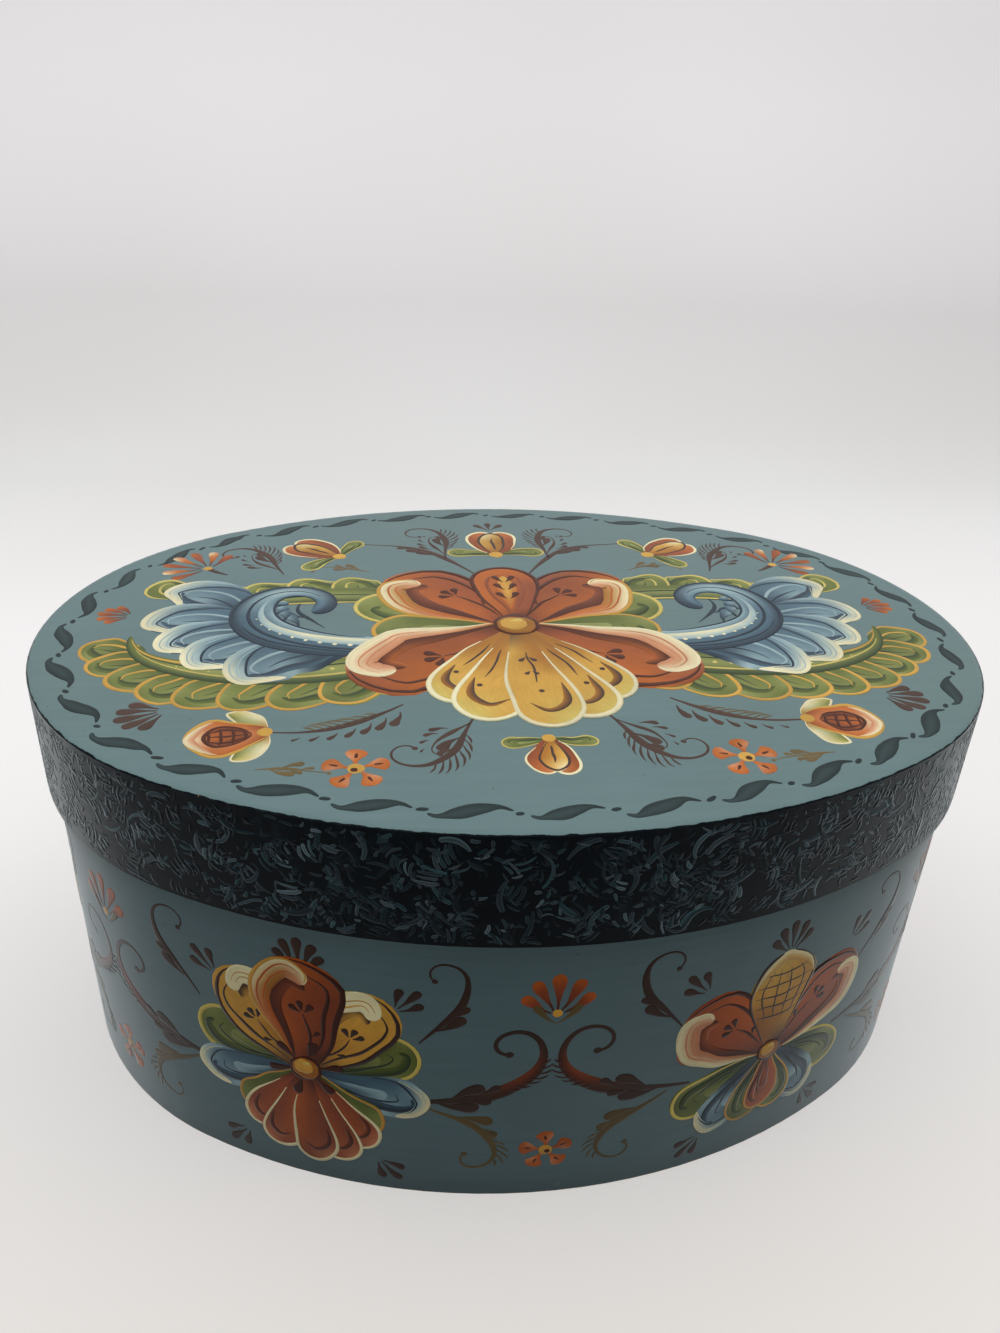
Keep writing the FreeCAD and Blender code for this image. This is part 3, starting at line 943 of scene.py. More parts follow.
def shell_petal(c, heading, reach, spread, count, width, kind, marks=True):
    """A fan of overlapping lobes from one point, each with its own edge."""
    look, w = LOOKS[kind], width * 0.01
    middle = (count - 1) / 2
    lobes = []
    for k in sorted(range(count), key=lambda k: -abs(k - middle)):
        share = (k - middle) / (count - 1)
        side = 1 if share < 0 else -1
        size = reach * (1 - 0.55 * share * share)
        line = sweep(0, 0, heading + spread * share, (size * 0.6, -side * 4),
                     (size * 0.4, side * 20 * abs(share) * 2))
        lobe = c.stroke(line, widths(width, 0.05, 0.24, 0.42, 0.52, 0.50), look.body, -side, step=1.0)
        fold = lobe.path((0.62, -0.70), (0.80, -0.52), (0.87, 0.0), (0.80, 0.50), side=side)
        c.stroke(fold, [0.1, 6 * w, 6 * w, 0.1], f"{look.fold} {look.inner}", sides=4)
        c.outline(lobe, 6 * w + 0.3, look.edge, 0.30)
        lobes.append((lobe, 0.42 * np.sign(share)))
    if not marks:
        return
    for lobe, across in lobes:
        c.trace(lobe, 4.0 * w, look.fold, (0.30, across), (0.45, across + 0.1), (0.62, across))
        c.dot(*lobe.at([0.70], [across])[0], 4.4 * w, look.fold)
    front = lobes[-1][0]
    for lean in (-26, 26):
        c.drop(*front.at([0.36], [0.0])[0], heading + lean * 1.6, 20 * w, 9 * w, look.fold)
        c.drop(*front.at([0.50], [0.0])[0], heading + lean * 1.4, 16 * w, 8 * w, look.fold)


def hub(c, radius):
    """A flower's middle: an ochre button with a brown ring and a light."""
    c.dot(0, 0, radius * 1.2, "wine")
    c.dot(0, 0, radius, "amber")
    c.dot(-radius * 0.12, radius * 0.12, radius * 0.70, "ochre")
    c.drop(-radius * 0.40, radius * 0.38, 14, radius * 0.8, radius * 0.30, "lemon")


def lattice(c, shape, first, last, count, colour, width):
    """Crossed fine lines over a stroke."""
    for k in np.linspace(-0.62, 0.62, count):
        c.trace(shape, width, colour, (first, k * 0.9), ((first + last) / 2, k), (last, k * 0.8))
    for k in np.linspace(first + 0.06, last - 0.03, count + 1):
        c.trace(shape, width, colour, (k, 0.86), (k - 0.03, 0), (k, -0.86))


def spray(c, x, y, heading, count, spread, size, colour):
    """A fan of teardrops with their points together."""
    for k in range(count):
        share = k / (count - 1) - 0.5
        turn = heading + spread * share
        out_x, out_y = around(0.16 * size, turn)
        c.drop(x + out_x, y + out_y, turn, size * (1 - 0.9 * share ** 2), size * 0.30, colour, -30 * share)


def leafy(c, shape, places, size, colour, side=1, lean=42):
    """Teardrop leaves that spring from a tendril and lean towards its tip."""
    for k, share in enumerate(places):
        spot, heading = shape.heading(share)
        reach = size * (1 - 0.4 * k / max(len(places) - 1, 1))
        c.drop(*spot, heading + side * lean, reach, reach * 0.36, colour, -side * 34)


def tendril(c, x, y, heading, legs, width, colour, *leaves):
    """A line that swells and thins to a knob. A row of leaves has its places, size, side and lean."""
    c.lift = c.first_lift
    knob = colour if isinstance(colour, str) else colour[-1]
    halves = widths(width, 0.10, 0.26, 0.5, 0.42, 0.22, 0.14, 0.12)
    shape = c.stroke(sweep(x, y, heading, *legs), halves, colour, sides=3, wobble=0.1)
    c.dot(*shape.line[-1], 0.17 * width + 0.45, knob)
    for places, size, *ways in leaves:
        leafy(c, shape, places, size, knob, *ways)
    return shape


def commas(c, shape, first, last, count, size, colour, side=1):
    """A row of shrinking commas beside a tendril."""
    for k, share in enumerate(np.linspace(first, last, count)):
        spot, heading = shape.heading(share)
        shrink = 1 - 0.62 * k / max(count - 1, 1)
        out_x, out_y = around(size * 0.28, heading + side * 90)
        c.drop(spot[0] + out_x, spot[1] + out_y, heading + side * 58, size * shrink, size * 0.34 * shrink,
               colour, -side * 44)


def feather(c, shape, first, last, count, reach, colour, side=1):
    """A row of hairlines that spring from a tendril, longest in the middle of the row."""
    for k, share in enumerate(np.linspace(first, last, count)):
        spot, heading = shape.heading(share)
        size = reach * (0.40 + 0.60 * math.sin(math.pi * (k + 0.7) / (count + 0.4)))
        c.stroke(sweep(*spot, heading + side * 46, (size * 0.5, -side * 6), (size * 0.5, -side * 34)),
                 widths(0.75, 0.18, 0.30, 0.5, 0.46, 0.10), colour, sides=2, caps=2, wobble=0.15)


def dot_row(c, shape, first, last, count, radius, colour, across):
    """A row of shrinking dots along a stroke."""
    for k, share in enumerate(np.linspace(first, last, count)):
        c.dot(*shape.at([share], [across])[0], radius * (1 - 0.6 * k / max(count - 1, 1)), colour)


def little_flower(c, size):
    """Five dabs round a dot."""
    for k in range(5):
        angle = 90 + 72 * k
        dab = c.drop(*around(0.12 * size, angle), angle, size * 0.40, size * 0.42,
                     ("rust", "rust rose", "rust"), 14)
        c.trace(dab, 0.05 * size, "wine", (0.3, 0.0), (0.75, 0.0))
    c.dot(0, 0, size * 0.13, "ochre")
    c.dot(size * 0.03, -size * 0.03, size * 0.055, "wine")


def pomegranate(c, size):
    """A round fruit with a latticed heart, a pale crown and two leaves."""
    for side in (1, -1):
        leaf = c.stroke(sweep(0, 0, 90 + side * 74, (size * 0.75, -side * 50)),
                        [0.3, *widths(size, 0.13, 0.17, 0.06)],
                        ("amber leaf", "cream sage", "lemon leaf"), side, 6)
        c.outline(leaf, 0.8, "cream", 0.1)
    body = c.stroke(sweep(0, 0, 90, (size, 0)), widths(size, 0.14, 0.36, 0.46, 0.36),
                    ("brick rust brick", "rust rose rust", "rust rose rust", "rose cream rose"))
    heart = c.stroke(body.path((0.18, 0), (0.5, 0), (0.80, 0)), widths(size, 0.10, 0.26, 0.22),
                     ("wine brick wine", "brick rust brick"), start="round")
    lattice(c, heart, 0.1, 0.92, 3, "wine", 0.045 * size)
    c.outline(heart, 0.05 * size, "wine", 0.06)
    c.outline(body, 0.07 * size, "ochre", 0.02)
    crown = body.path((0.62, 0.86), (0.86, 0.62), (0.95, 0.0), (0.86, -0.62), (0.62, -0.86))
    c.stroke(crown, [0.1, 0.05 * size, 0.075 * size, 0.05 * size, 0.1], "cream rose", sides=4)
    c.dot(0, size * 0.02, size * 0.10, "ochre")


def rosebud(c, size):
    """A small tulip of three petals in a leafy cup."""
    for side in (1, -1):
        nested_petal(c, 90 - side * 70, size * 0.75, size * 0.30, "green", side, -34)
    for side in (1, -1):
        outer = c.stroke(sweep(0, 0, 90 - side * 30, (size, side * 48)),
                         [0.5, *widths(size, 0.17, 0.24, 0.18)],
                         ("wine brick", "rust brick", "rose rust"), side)
        c.outline(outer, 0.05 * size, "cream", 0.1, 0.3)
    heart = c.stroke(sweep(0, 0, 90, (size * 0.92, 0)), [0.5, *widths(size, 0.16, 0.21, 0.15)],
                     ("amber", "ochre amber", "cream ochre"))
    c.outline(heart, 0.05 * size, "umber", 0.1)
    c.trace(heart, 0.05 * size, "umber", (0.2, 0), (0.75, 0))
    c.dot(0, 0, size * 0.11, "ochre")


def fan_flower(c, size):
    """A spray of red and cream dabs over a stem."""
    for k in range(7):
        share = k / 6 - 0.5
        angle = 90 + 170 * share
        c.drop(*around(0.12 * size, angle), angle, size * (0.80 - 0.5 * share * share), size * 0.20,
               ("wine", "rust", "rose cream") if k % 2 else ("wine", "brick", "brick rust"), -24 * share)
    stem = sweep(0, -size * 0.55, 84, (size * 0.62, 12))
    c.stroke(stem, [0.3, *widths(size, 0.04, 0.06, 0.05)], "umber", sides=3)
    c.dot(0, 0, size * 0.09, "ochre")


def acanthus(c, spine, places, reach, width, side, kind, edge_width, lean, curl, crest=False, taper=0.0):
    """Leaf fingers from one side of a spine, painted from the tip back, each over the one beyond."""
    look = LOOKS[kind]
    for share in sorted(places, reverse=True):
        spot, heading = spine.heading(share)
        swell = 0.55 + 0.45 * math.sin(math.pi * min(1.0, 0.22 + 0.72 * share))
        size = reach * swell * (1 - taper * share ** 2)
        wide = width * (0.6 + 0.4 * size / reach)
        w = wide * 0.01
        line = sweep(*spot, heading + side * lean * 0.3, (size * 0.5, side * lean * 0.6),
                     (size * 0.5, side * curl))
        finger = c.stroke(line, widths(wide, 0.10, 0.34, 0.50, 0.50, 0.42), look.body, -side, step=1.0)
        c.stroke(finger.path((0.12, 0.35), (0.5, 0.52), (0.80, 0.40), (0.88, -0.1), side=side),
                 [0.1, 7 * w, 9 * w, 2 * w], f"{look.fold} {look.inner}", sides=4)
        c.trace(finger, 5 * w + 0.2, look.hair, (0.2, -0.35), (0.55, -0.42), (0.80, -0.25), (0.84, 0.18),
                side=side)
        c.trace(finger, 3.4 * w + 0.1, look.fold, (0.16, 0.05), (0.5, 0.02), (0.74, 0.10), side=side)
        if not crest:
            c.outline(finger, edge_width, look.edge, 0.22)
            continue
        lip = finger.path((0.42, -0.97), (0.70, -0.90), (0.90, -0.55), (0.955, 0.0), (0.90, 0.55),
                          (0.78, 0.88), side=side)
        lip = c.stroke(lip, [0.2, 7 * w, 13 * w, 15 * w, 11 * w, 3 * w], look.lip, -side, step=0.9)
        c.trace(lip, 4 * w, look.fold, (0.1, 0.75), (0.5, 0.88), (0.9, 0.7), side=side)
        for across in (-0.35, 0.25):
            c.trace(lip, 1.6 * w + 0.1, look.hair, (0.25, across), (0.55, across), (0.8, across), side=side)


def both_ways(c, x=0, y=0):
    """Starts a motif at a place, and then its mirror image there."""
    for flip in (1, -1):
        c.at(x, y, 0, 1, flip)
        yield


# The lid's top

def lid_border(settings):
    """The row of slate strokes with a dot between each two."""
    c = Canvas(border_place, BORDER_SEED)
    total = oval_length(settings.inset / MM)
    count = round(total / (settings.pitch / MM))
    pitch = total / count
    half, belly = settings.stroke / MM / 2, settings.width / MM / 2
    for k in range(count):
        jitter = c.random.uniform(-0.5, 0.5, 8)
        c.at(k * pitch + jitter[0] * 1.2, jitter[1] * 1.2, jitter[2] * 6, 1 + jitter[3] * 0.12)
        bends = ((-half, 1.6 + jitter[4] * 0.6), (-half * 0.74, 2.5), (-half * 0.34, 1.1 + jitter[5] * 0.5),
                 (half * 0.22, -1.2), (half * 0.66, -2.2), (half, -0.6 + jitter[6] * 0.8))
        c.stroke(smooth(bends, 24 * len(bends)), [0.5, *widths(belly, 0.42, 0.90, 1, 0.80, 0.36), 0.36],
                 ("border thin border", "border thin border", "border"), sides=6, start="round")
        c.at((k + 0.5) * pitch + jitter[6], jitter[7] * 0.8, -16 + jitter[5] * 20)
        dash = sweep(-1.5, 0, 0, (3.0 + jitter[1] * 1.6, 0))
        c.stroke(dash, [0.5, 0.85, 0.5], "border", sides=3, start="round")
    return c


def lid_leaves(c):
    """The green leaves at both sides, under the scrolls."""
    for flip in (1, -1):
        c.at(0, -4, 0, 1, flip)
        line = sweep(10, 10, 46, (36, -34), (44, -26), (28, 26), (20, 36))
        spine = c.shape(line, [0.8, 5.0, 7.0, 6.0, 4.0, 1.0])
        acanthus(c, spine, (0.30, 0.42, 0.54, 0.66, 0.78, 0.90), 27, 20, 1, "green", 1.3, 34, 60)
        c.paint(spine, ("moss leaf", "leaf sage moss", "leaf moss"))
        c.trace(spine, 1.2, "lemon", (0.04, -0.85), (0.5, -0.85), (0.98, -0.6))
        c.trace(spine, 1.0, "moss", (0.1, 0.2), (0.5, 0.1), (0.9, 0.1))
        c.at(0, -6, 0, 1, flip)
        line = sweep(8, -8, -23, (36, 4), (44, 16), (38, 34), (24, 56))
        spine = c.shape(line, [0.8, 5.5, 8.5, 7.5, 4.5, 0.6])
        acanthus(c, spine, (0.13, 0.23, 0.33, 0.43, 0.53, 0.62, 0.71, 0.80, 0.88), 41, 21, -1, "gold", 1.4,
                 40, -34, taper=0.35)
        c.paint(spine, ("moss leaf", "leaf sage moss", "leaf sage moss", "leaf moss"))
        c.trace(spine, 1.4, "ochre", (0.04, 0.9), (0.5, 0.9), (0.98, 0.4))
        c.trace(spine, 1.2, "lemon", (0.06, -0.3), (0.5, -0.4), (0.92, 0))
        c.trace(spine, 1.2, "moss", (0.1, 0.35), (0.5, 0.4), (0.9, 0.3))
        dot_row(c, spine, 0.34, 0.78, 12, 0.95, "lemon", 0.05)


def lid_scrolls(c):
    """The pair of blue scrolls with pale crests."""
    for _ in both_ways(c, 0, -4):
        line = sweep(8, -4, -18, (44, 14), (36, 40), (34, 86), (24, 112), (15, 100))
        left, right = [0.8, 4.5, 8.0, 9.5, 8.0, 5.0, 4.2], [0.8, 4.5, 7.5, 9.0, 7.5, 5.0, 4.2]
        spine = c.shape(line, (left, right), step=1.0)
        acanthus(c, spine, (0.30, 0.375, 0.45, 0.525, 0.60), 50, 25, -1, "blue", 1.4, 26, 54, True)
        c.paint(spine, ("navy slate", "sky slate navy", "sky slate navy", "sky slate slate navy",
                        "slate sky navy", "slate navy"))
        c.stroke(spine.path((0.10, 0.5), (0.34, 0.42), (0.55, 0.35), (0.74, 0.4)),
                 [0.1, 2.0, 2.6, 1.8, 0.1], ("sky", "cream sky", "sky"), sides=4)
        c.trace(spine, 1.7, "navy", (0.03, -0.93), (0.3, -0.93), (0.6, -0.93), (0.97, -0.9))
        c.trace(spine, 1.4, "navy", (0.14, -0.35), (0.4, -0.25), (0.66, -0.2), (0.9, 0.0))
        c.trace(spine, 1.1, "navy", (0.22, -0.62), (0.42, -0.55), (0.60, -0.6))
        c.trace(spine, 1.2, "navy", (0.30, 0.93), (0.6, 0.93), (0.98, 0.9))
        dot_row(c, spine, 0.10, 0.30, 9, 1.15, "navy", -0.62)
        dot_row(c, spine, 0.34, 0.62, 9, 0.9, "cream", 0.10)
        for k, share in enumerate((0.50, 0.57, 0.64, 0.71)):
            c.drop(*spine.at([share], [0.9])[0], spine.heading(share)[1] + 60, 12 - 2 * k, 4.6,
                   ("navy", "slate sky"), -50)


def lid_flower(c):
    """The large flower in the middle."""
    c.at(0, -2, 0, 1.12)
    for side in (1, -1):
        nested_petal(c, 90 - side * 64, 54, 25, "green", side, -22)
        nested_petal(c, 90 - side * 100, 46, 21, "gold", side, 18)
    for side in (1, -1):
        lip_petal(c, 90 - side * 35, 56, 36, "rust", -side, 40)
    heart = petal_body(c, 90, 47, 25, "rust", 1, 0)
    c.outline(heart, 1.7, "wine", 0.04)
    for k in (-0.5, 0.5):
        c.trace(heart, 1.6, "brick", (0.15, 0.2 * k), (0.5, k), (0.80, 0.9 * k), (0.88, 0.2 * k))
    c.stroke(heart.path((0.24, 0), (0.55, 0), (0.84, 0)), [0.1, 2.6, 3.6, 1.0],
             ("rust", "rust ochre rust", "ochre"), sides=6)
    for share in (0.42, 0.58, 0.72):
        for side in (1, -1):
            c.drop(*heart.at([share], [0])[0], 90 + side * 46, 7, 2.6, "wine", -side * 30)
    for side in (1, -1):
        lip_petal(c, 270 + side * 46, 62, 38, "brick", side, 40)
    shell_petal(c, 270, 62, 54, 5, 20, "ochre")
    hub(c, 6.4)


def lid_buds(c):
    """Fruits, buds and little flowers round the large flower."""
    for flip in (1, -1):
        for draw, size, x, y, turn in ((rosebud, 25, 65, 65, -55), (pomegranate, 23, 82, -70.5, -100),
                                       (little_flower, 19, 56, -91, -4), (fan_flower, 20, 116, 53, -52)):
            c.at(flip * x, y, flip * turn, 1, flip)
            draw(c, size)
    c.at(0, 66, 0)
    rosebud(c, 27)
    c.at(0, -78, 180)
    rosebud(c, 19)


def flourish(c, x, y, heading, size, colour, side, hairs):
    """A stem that ends in a curl, hairlines outside it, and a short fork with teardrops."""
    bends = ((0.50, -8), (0.45, 34), (0.42, 84), (0.30, 104), (0.17, 96))
    legs = [(size * reach, side * bend) for reach, bend in bends]
    stem = tendril(c, x, y, heading, legs, size * 0.09, colour)
    feather(c, stem, 0.20, 0.52, hairs, size * 0.36, colour, -side)
    leafy(c, stem, (0.24, 0.36), size * 0.34, colour, side, 50)
    fork, turn = stem.heading(0.08)
    bends = ((0.34, 4), (0.30, -40), (0.16, -96))
    legs = [(size * reach, side * bend) for reach, bend in bends]
    back = tendril(c, *fork, turn + side * 26, legs, size * 0.055, colour)
    commas(c, back, 0.30, 0.80, 4, size * 0.22, colour, side)


def lid_tendrils(c):
    """Brown tendrils, hairlines and teardrops round the flowers."""
    for _ in both_ways(c):
        tendril(c, 10, 44, 64, ((24, -12), (26, -48), (16, 8)), 2.8, "umber", ((0.46, 0.60), 11, -1),
                ((0.40,), 10, -1))
        flourish(c, 22, 62, 92, 31, "umber", -1, 8)
        flourish(c, 86, 46, 66, 31, "umber", -1, 9)
        spray(c, 113, -57, -22, 5, 96, 13, "umber")
        flourish(c, 20, -64, 296, 30, "umber", 1, 8)
        tendril(c, 68, -2, 48, ((14, 6), (10, 60), (7, 100), (5, 100)), 1.9, "navy", ((0.30,), 9, -1))
        stem = tendril(c, 42, -56, 318, ((18, 12), (18, 30), (12, 12)), 3.0, "umber")
        commas(c, stem, 0.08, 0.72, 7, 9, "umber", -1)
        feather(c, stem, 0.20, 0.62, 8, 9, "olive", 1)
        tendril(c, 84, -90, 180, ((8, 4), (8, 10), (5, 8)), 1.5, "olive", ((0.2, 0.45), 8),
                ((0.35, 0.6), 7, -1))
        tendril(c, 52, 48, 30, ((10, -10), (9, -30), (7, -60)), 1.5, "olive", ((0.2, 0.45), 8),
                ((0.35,), 7, -1))
        spray(c, 136, 10, 10, 5, 96, 11, FRUIT_RED)
    for heading in (50, 90, 130):
        c.at()
        c.drop(around(0.6, heading)[0], 95, heading, 9, 3, "umber")


# The wall

def petals(c, *table):
    """A flower's small petals in turn. Those with a crest are the blue ones."""
    for kind, reach, width, bend, headings in table:
        for side, heading in zip((1, -1), headings):
            nested_petal(c, heading, reach, width, kind, side, bend, kind == "blue")


def tulip(c):
    """An open tulip: two curled petals with cream lips, a latticed heart and leaves below."""
    petals(c, ("green", 38, 18, 24, (200, -20)), ("blue", 37, 17, 26, (226, -46)),
           ("gold", 31, 14, 16, (250, -70)))
    lip_petal(c, 136, 43, 29, "brick", 1, 20)
    lip_petal(c, 44, 43, 29, "brick", -1, 20)
    heart = petal_body(c, 90, 42, 25, "ochre", 1, 0)
    c.outline(heart, 1.3, "umber", 0.05)
    lattice(c, heart, 0.34, 0.86, 4, "umber", 0.7)
    crown = heart.path((0.70, 0.9), (0.90, 0.66), (0.97, 0.0), (0.90, -0.66), (0.70, -0.9))
    c.stroke(crown, [0.1, 1.4, 2.0, 1.4, 0.1], "cream ochre", sides=4)
    nested_petal(c, 270, 27, 13, "rust", 1, 0)
    hub(c, 4.0)


def rosette(c):
    """A round flower with petals of many kinds."""
    petals(c, ("green", 38, 20, 26, (14, 172)), ("blue", 39, 18, 26, (338, 206)),
           ("gold", 32, 15, 16, (310, 232)))
    lip_petal(c, 48, 42, 27, "ochre", 1, 26)
    lip_petal(c, 132, 42, 27, "ochre", -1, 26)
    lip_petal(c, 90, 45, 30, "rust", 1, 10)
    shell_petal(c, 270, 42, 62, 5, 14, "brick", False)
    for k in range(6):
        c.drop(*around(3.5, 60 * k + 14), 60 * k + 14, 9, 3.4, "wine")
    hub(c, 4.4)


def wall_spots(settings, offset):
    """Each flower's number and place. With an offset of a half, the middles between the flowers."""
    pitch = oval_length(BODY_FACE) / settings.groups
    return [(k, settings.shift / MM + (k + offset) * pitch) for k in range(settings.groups)]


def wall_flowers(c, settings):
    """The large flowers, alternately a tulip and a rosette. The tulips sit a little lower."""
    for k, along in wall_spots(settings, 0):
        c.at(along, settings.hub_height / MM - (0 if k % 2 else 5))
        (rosette if k % 2 else tulip)(c)


def wall_tendrils(c, settings):
    """The brown scrolls between the flowers."""
    bold = ("umber", "umber", "wine brick", "umber", "umber")
    middle = settings.hub_height / MM
    for _, along in wall_spots(settings, 0.5):
        for _ in both_ways(c, along, middle):
            tendril(c, 40, 18, 124, ((16, 8), (14, -46), (12, -104), (8, -130)), 2.6, "umber",
                    ((0.14, 0.30), 11, 1, 36))
            low = tendril(c, 38, -9, 214, ((15, -6), (14, 46), (13, 106), (9, 140)), 3.0, "olive",
                          ((0.20, 0.36), 12, -1, 36))
            feather(c, low, 0.44, 0.66, 6, 7, "olive", -1)
            stem = tendril(c, 46, -8, 174, ((22, -4), (20, -34), (19, -84), (14, -112), (9, -128)), 5.0,
                           bold, ((0.13, 0.24), 14, 1, 34), ((0.18, 0.30), 13, -1, 40))
            feather(c, stem, 0.40, 0.58, 7, 7, "umber", 1)
        c.at(along, middle - 29)
        little_flower(c, 17)
        c.at(along, middle + 24)
        spray(c, 0, 6, 90, 5, 120, 14, FRUIT_RED)
        c.dot(0, 7, 1.5, "ochre")
        for lean in (150, 30):
            c.drop(0, 3, lean, 10, 2.6, "olive", (90 - lean) * 0.5)
    for k, along in wall_spots(settings, 0):
        c.at(along, middle)
        spray(c, 0, 40 if k % 2 else 37, 90, 5, 110, 11, "umber")
        for _ in both_ways(c, along, middle):
            spray(c, 28, 30, 48, 3, 70, 10, "umber")
            spray(c, 22, -36, -50, 3, 70, 10, "umber")


# The rim's comb marks

def rim_marks(c, settings):
    """Chips, combed crescents and long sickles of slate paint, laid every way over the rim."""
    total = oval_length(LID_FACE)
    low, high = RIM_FOOT + settings.margin / MM, LID_TOP - settings.margin / MM
    slate, teal, dark = (np.array(paint(name)) for name in ("fleck", "teal", "rim"))
    draw = c.random

    def spot():
        return draw.uniform(0, total), draw.uniform(low, high), draw.uniform(0, 360)

    def mark(along, height, heading, size, turn, width, tone):
        c.at(along, height, heading)
        line = sweep(-size / 2, 0, -turn / 2, (size, turn))
        reach = np.abs(c.placed(line)[1] - height).max() + width
        c.at(along, min(max(height, low + reach), high - reach), heading, lift=draw.uniform(0, 0.03))
        pale = slate + (teal - slate) * draw.beta(0.8, 1.2)
        edge, inner = (tuple(dark + (pale - dark) * tone * share) for share in (1, 0.62))
        c.stroke(line, widths(width, 0.45, 1, 0.9), [[edge, inner, edge]], sides=2, step=1.1, caps=1)

    for _ in range(settings.chips):
        mark(*spot(), draw.uniform(1.6, 4.4), draw.uniform(-70, 70), draw.uniform(0.28, 0.66),
             np.clip(draw.beta(1.5, 2.6), 0.05, 1))
    for _ in range(settings.combs):
        along, height, heading = spot()
        size, turn = draw.uniform(3.5, 8.0), draw.choice((-1, 1)) * draw.uniform(20, 90)
        tone = draw.beta(2, 2.8)
        gap, slide, width = draw.uniform(1.4, 2.2), draw.uniform(-0.9, 0.9), draw.uniform(0.34, 0.62)
        x, y = around(1, heading)
        for k in range(draw.integers(2, 5)):
            mark(along - k * gap * y + k * slide * x, height + k * gap * x + k * slide * y,
                 heading + draw.normal(0, 8), size * draw.uniform(0.5, 1.1), turn * draw.uniform(0.7, 1.2),
                 width * draw.uniform(0.7, 1.2), np.clip(tone * draw.uniform(0.5, 1.4), 0.08, 1))
    for _ in range(settings.sickles):
        mark(*spot(), draw.uniform(5.5, 12.0), draw.choice((-1, 1)) * draw.uniform(30, 110),
             draw.uniform(0.45, 0.95), np.clip(draw.beta(2.4, 2.6), 0.1, 1))


# Operators, one for each group of pieces

class BoxOperator:
    """What the operators share."""
    bl_options = {"REGISTER", "UNDO"}


class BOX_OT_wood(BoxOperator, Operator):
    """Finish the wood, pegs and tacks"""
    bl_idname = "box.finish_wood"
    bl_label = "Finish wood"

    def execute(self, context):
        finishes = {
            "base_board": board_material(),
            "body_band": wall_material(),
            # Painted shade: the base pegs and the wall's tacks take the wall's darker blue, the lid's paint
            # shaded
            "base_pegs": peg_material("base_peg_paint", "wall"),
            "body_lap_tacks": tack_material("wall_tack_paint", "wall"),
            "lid_board": lid_board_material(),
            "lid_band": rim_material(),
            "lid_pegs": peg_material("lid_peg_paint", "rim"),
            "lid_lap_tacks": tack_material("rim_tack_paint", "rim"),
        }
        smoothing = bpy.data.node_groups.get("smooth_curves") or smooth_curves()
        for node, material in finishes.items():
            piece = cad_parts[node]
            piece.material_slots[0].material = material
            piece.modifiers.new("smooth_curves", "NODES").node_group = smoothing
        return {"FINISHED"}


class BOX_OT_border(BoxOperator, Operator):
    """Paint the row of strokes round the lid"""
    bl_idname = "box.paint_border"
    bl_label = "Paint border"

    def execute(self, context):
        material = stroke_material("border_strokes", strength=0.35, gloss=0.12)
        lid_border(context.scene.box_border).finish("lid_border", "lid", "blue_paint", material)
        return {"FINISHED"}


class BOX_OT_lid(BoxOperator, Operator):
    """Paint the flowers, scrolls and leaves on the lid's top"""
    bl_idname = "box.paint_lid"
    bl_label = "Paint lid"

    def execute(self, context):
        material = stroke_material("lid_strokes", strength=0.34, gloss=0.15)
        layers = ((lid_tendrils, 0.02), (lid_leaves, 0.05), (lid_scrolls, 0.12), (lid_flower, 0.22),
                  (lid_buds, 0.04))
        for seed, (draw, lift) in enumerate(layers, LID_SEED):
            canvas = Canvas(top_place, seed, lift)
            draw(canvas)
            canvas.finish(draw.__name__, "lid", "blue_paint", material)
        return {"FINISHED"}


class BOX_OT_wall(BoxOperator, Operator):
    """Paint the flowers and scrolls round the wall"""
    bl_idname = "box.paint_wall"
    bl_label = "Paint wall"

    def execute(self, context):
        # Painted shade: the wall's strokes are the lid's paints darkened by a gamma of 1.2, for the shade
        # that the wall lies in
        material = stroke_material("wall_strokes", strength=0.34, gloss=MATT, hazy=True, shade_gamma=1.2)
        layers = ((wall_tendrils, 0.03), (wall_flowers, 0.09))
        for seed, (draw, lift) in enumerate(layers, WALL_SEED):
            canvas = Canvas(wall_place(BODY_FACE), seed, lift, column=1.0)
            draw(canvas, context.scene.box_wall)
            canvas.finish(draw.__name__, "box", "blue_paint", material)
        return {"FINISHED"}


class BOX_OT_rim(BoxOperator, Operator):
    """Comb the slate marks over the rim"""
    bl_idname = "box.comb_rim"
    bl_label = "Comb rim"

    def execute(self, context):
        canvas = Canvas(wall_place(LID_FACE), RIM_SEED, 0.03)
        rim_marks(canvas, context.scene.box_rim)
        material = stroke_material("rim_strokes", strength=0.5, gloss=MATT, hazy=True)
        canvas.finish("rim_marks", "lid", "rim_paint", material)
        return {"FINISHED"}


# The room

SWEEP_HALF, SWEEP_FRONT, SWEEP_BACK, SWEEP_RADIUS, SWEEP_TOP = 1.6, -1.3, 0.75, 0.45, 2.2
GLOW_START, GLOW_END = -0.3, 1.2  # the stretch of floor and backdrop that the glow's colours cover
# Painted light and shade: the glow is brighter and darker along the sweep as the room's light falls on it,
# and darker and warmer just in front of the box, a painted shade and a painted warm bounce from the box
GLOW = ((-0.18, (0.435, 0.412, 0.39)), (-0.06, (0.44, 0.43, 0.43)), (0.08, (0.485, 0.485, 0.49)),
        (0.30, (0.495, 0.49, 0.50)), (0.62, (0.37, 0.375, 0.38)), (1.04, (0.355, 0.35, 0.36)),
        (1.19, (0.49, 0.48, 0.495)))
# How bright the room is in front, how much more at the back and at both ends, and as it is seen
ROOM_FRONT, ROOM_REST, ROOM_ENDS, ROOM_SEEN = 0.06, 0.26, 0.22, 0.75
LAMP_PLACE, LAMP_AIM, LAMP_SIZE = Vector((0.0, 0.15, 1.35)), Vector((0, 0, 0.1)), (2.0, 1.7)
LAMP_WATTS, LAMP_COLOUR = 15.5, (1.0, 0.99, 0.97)


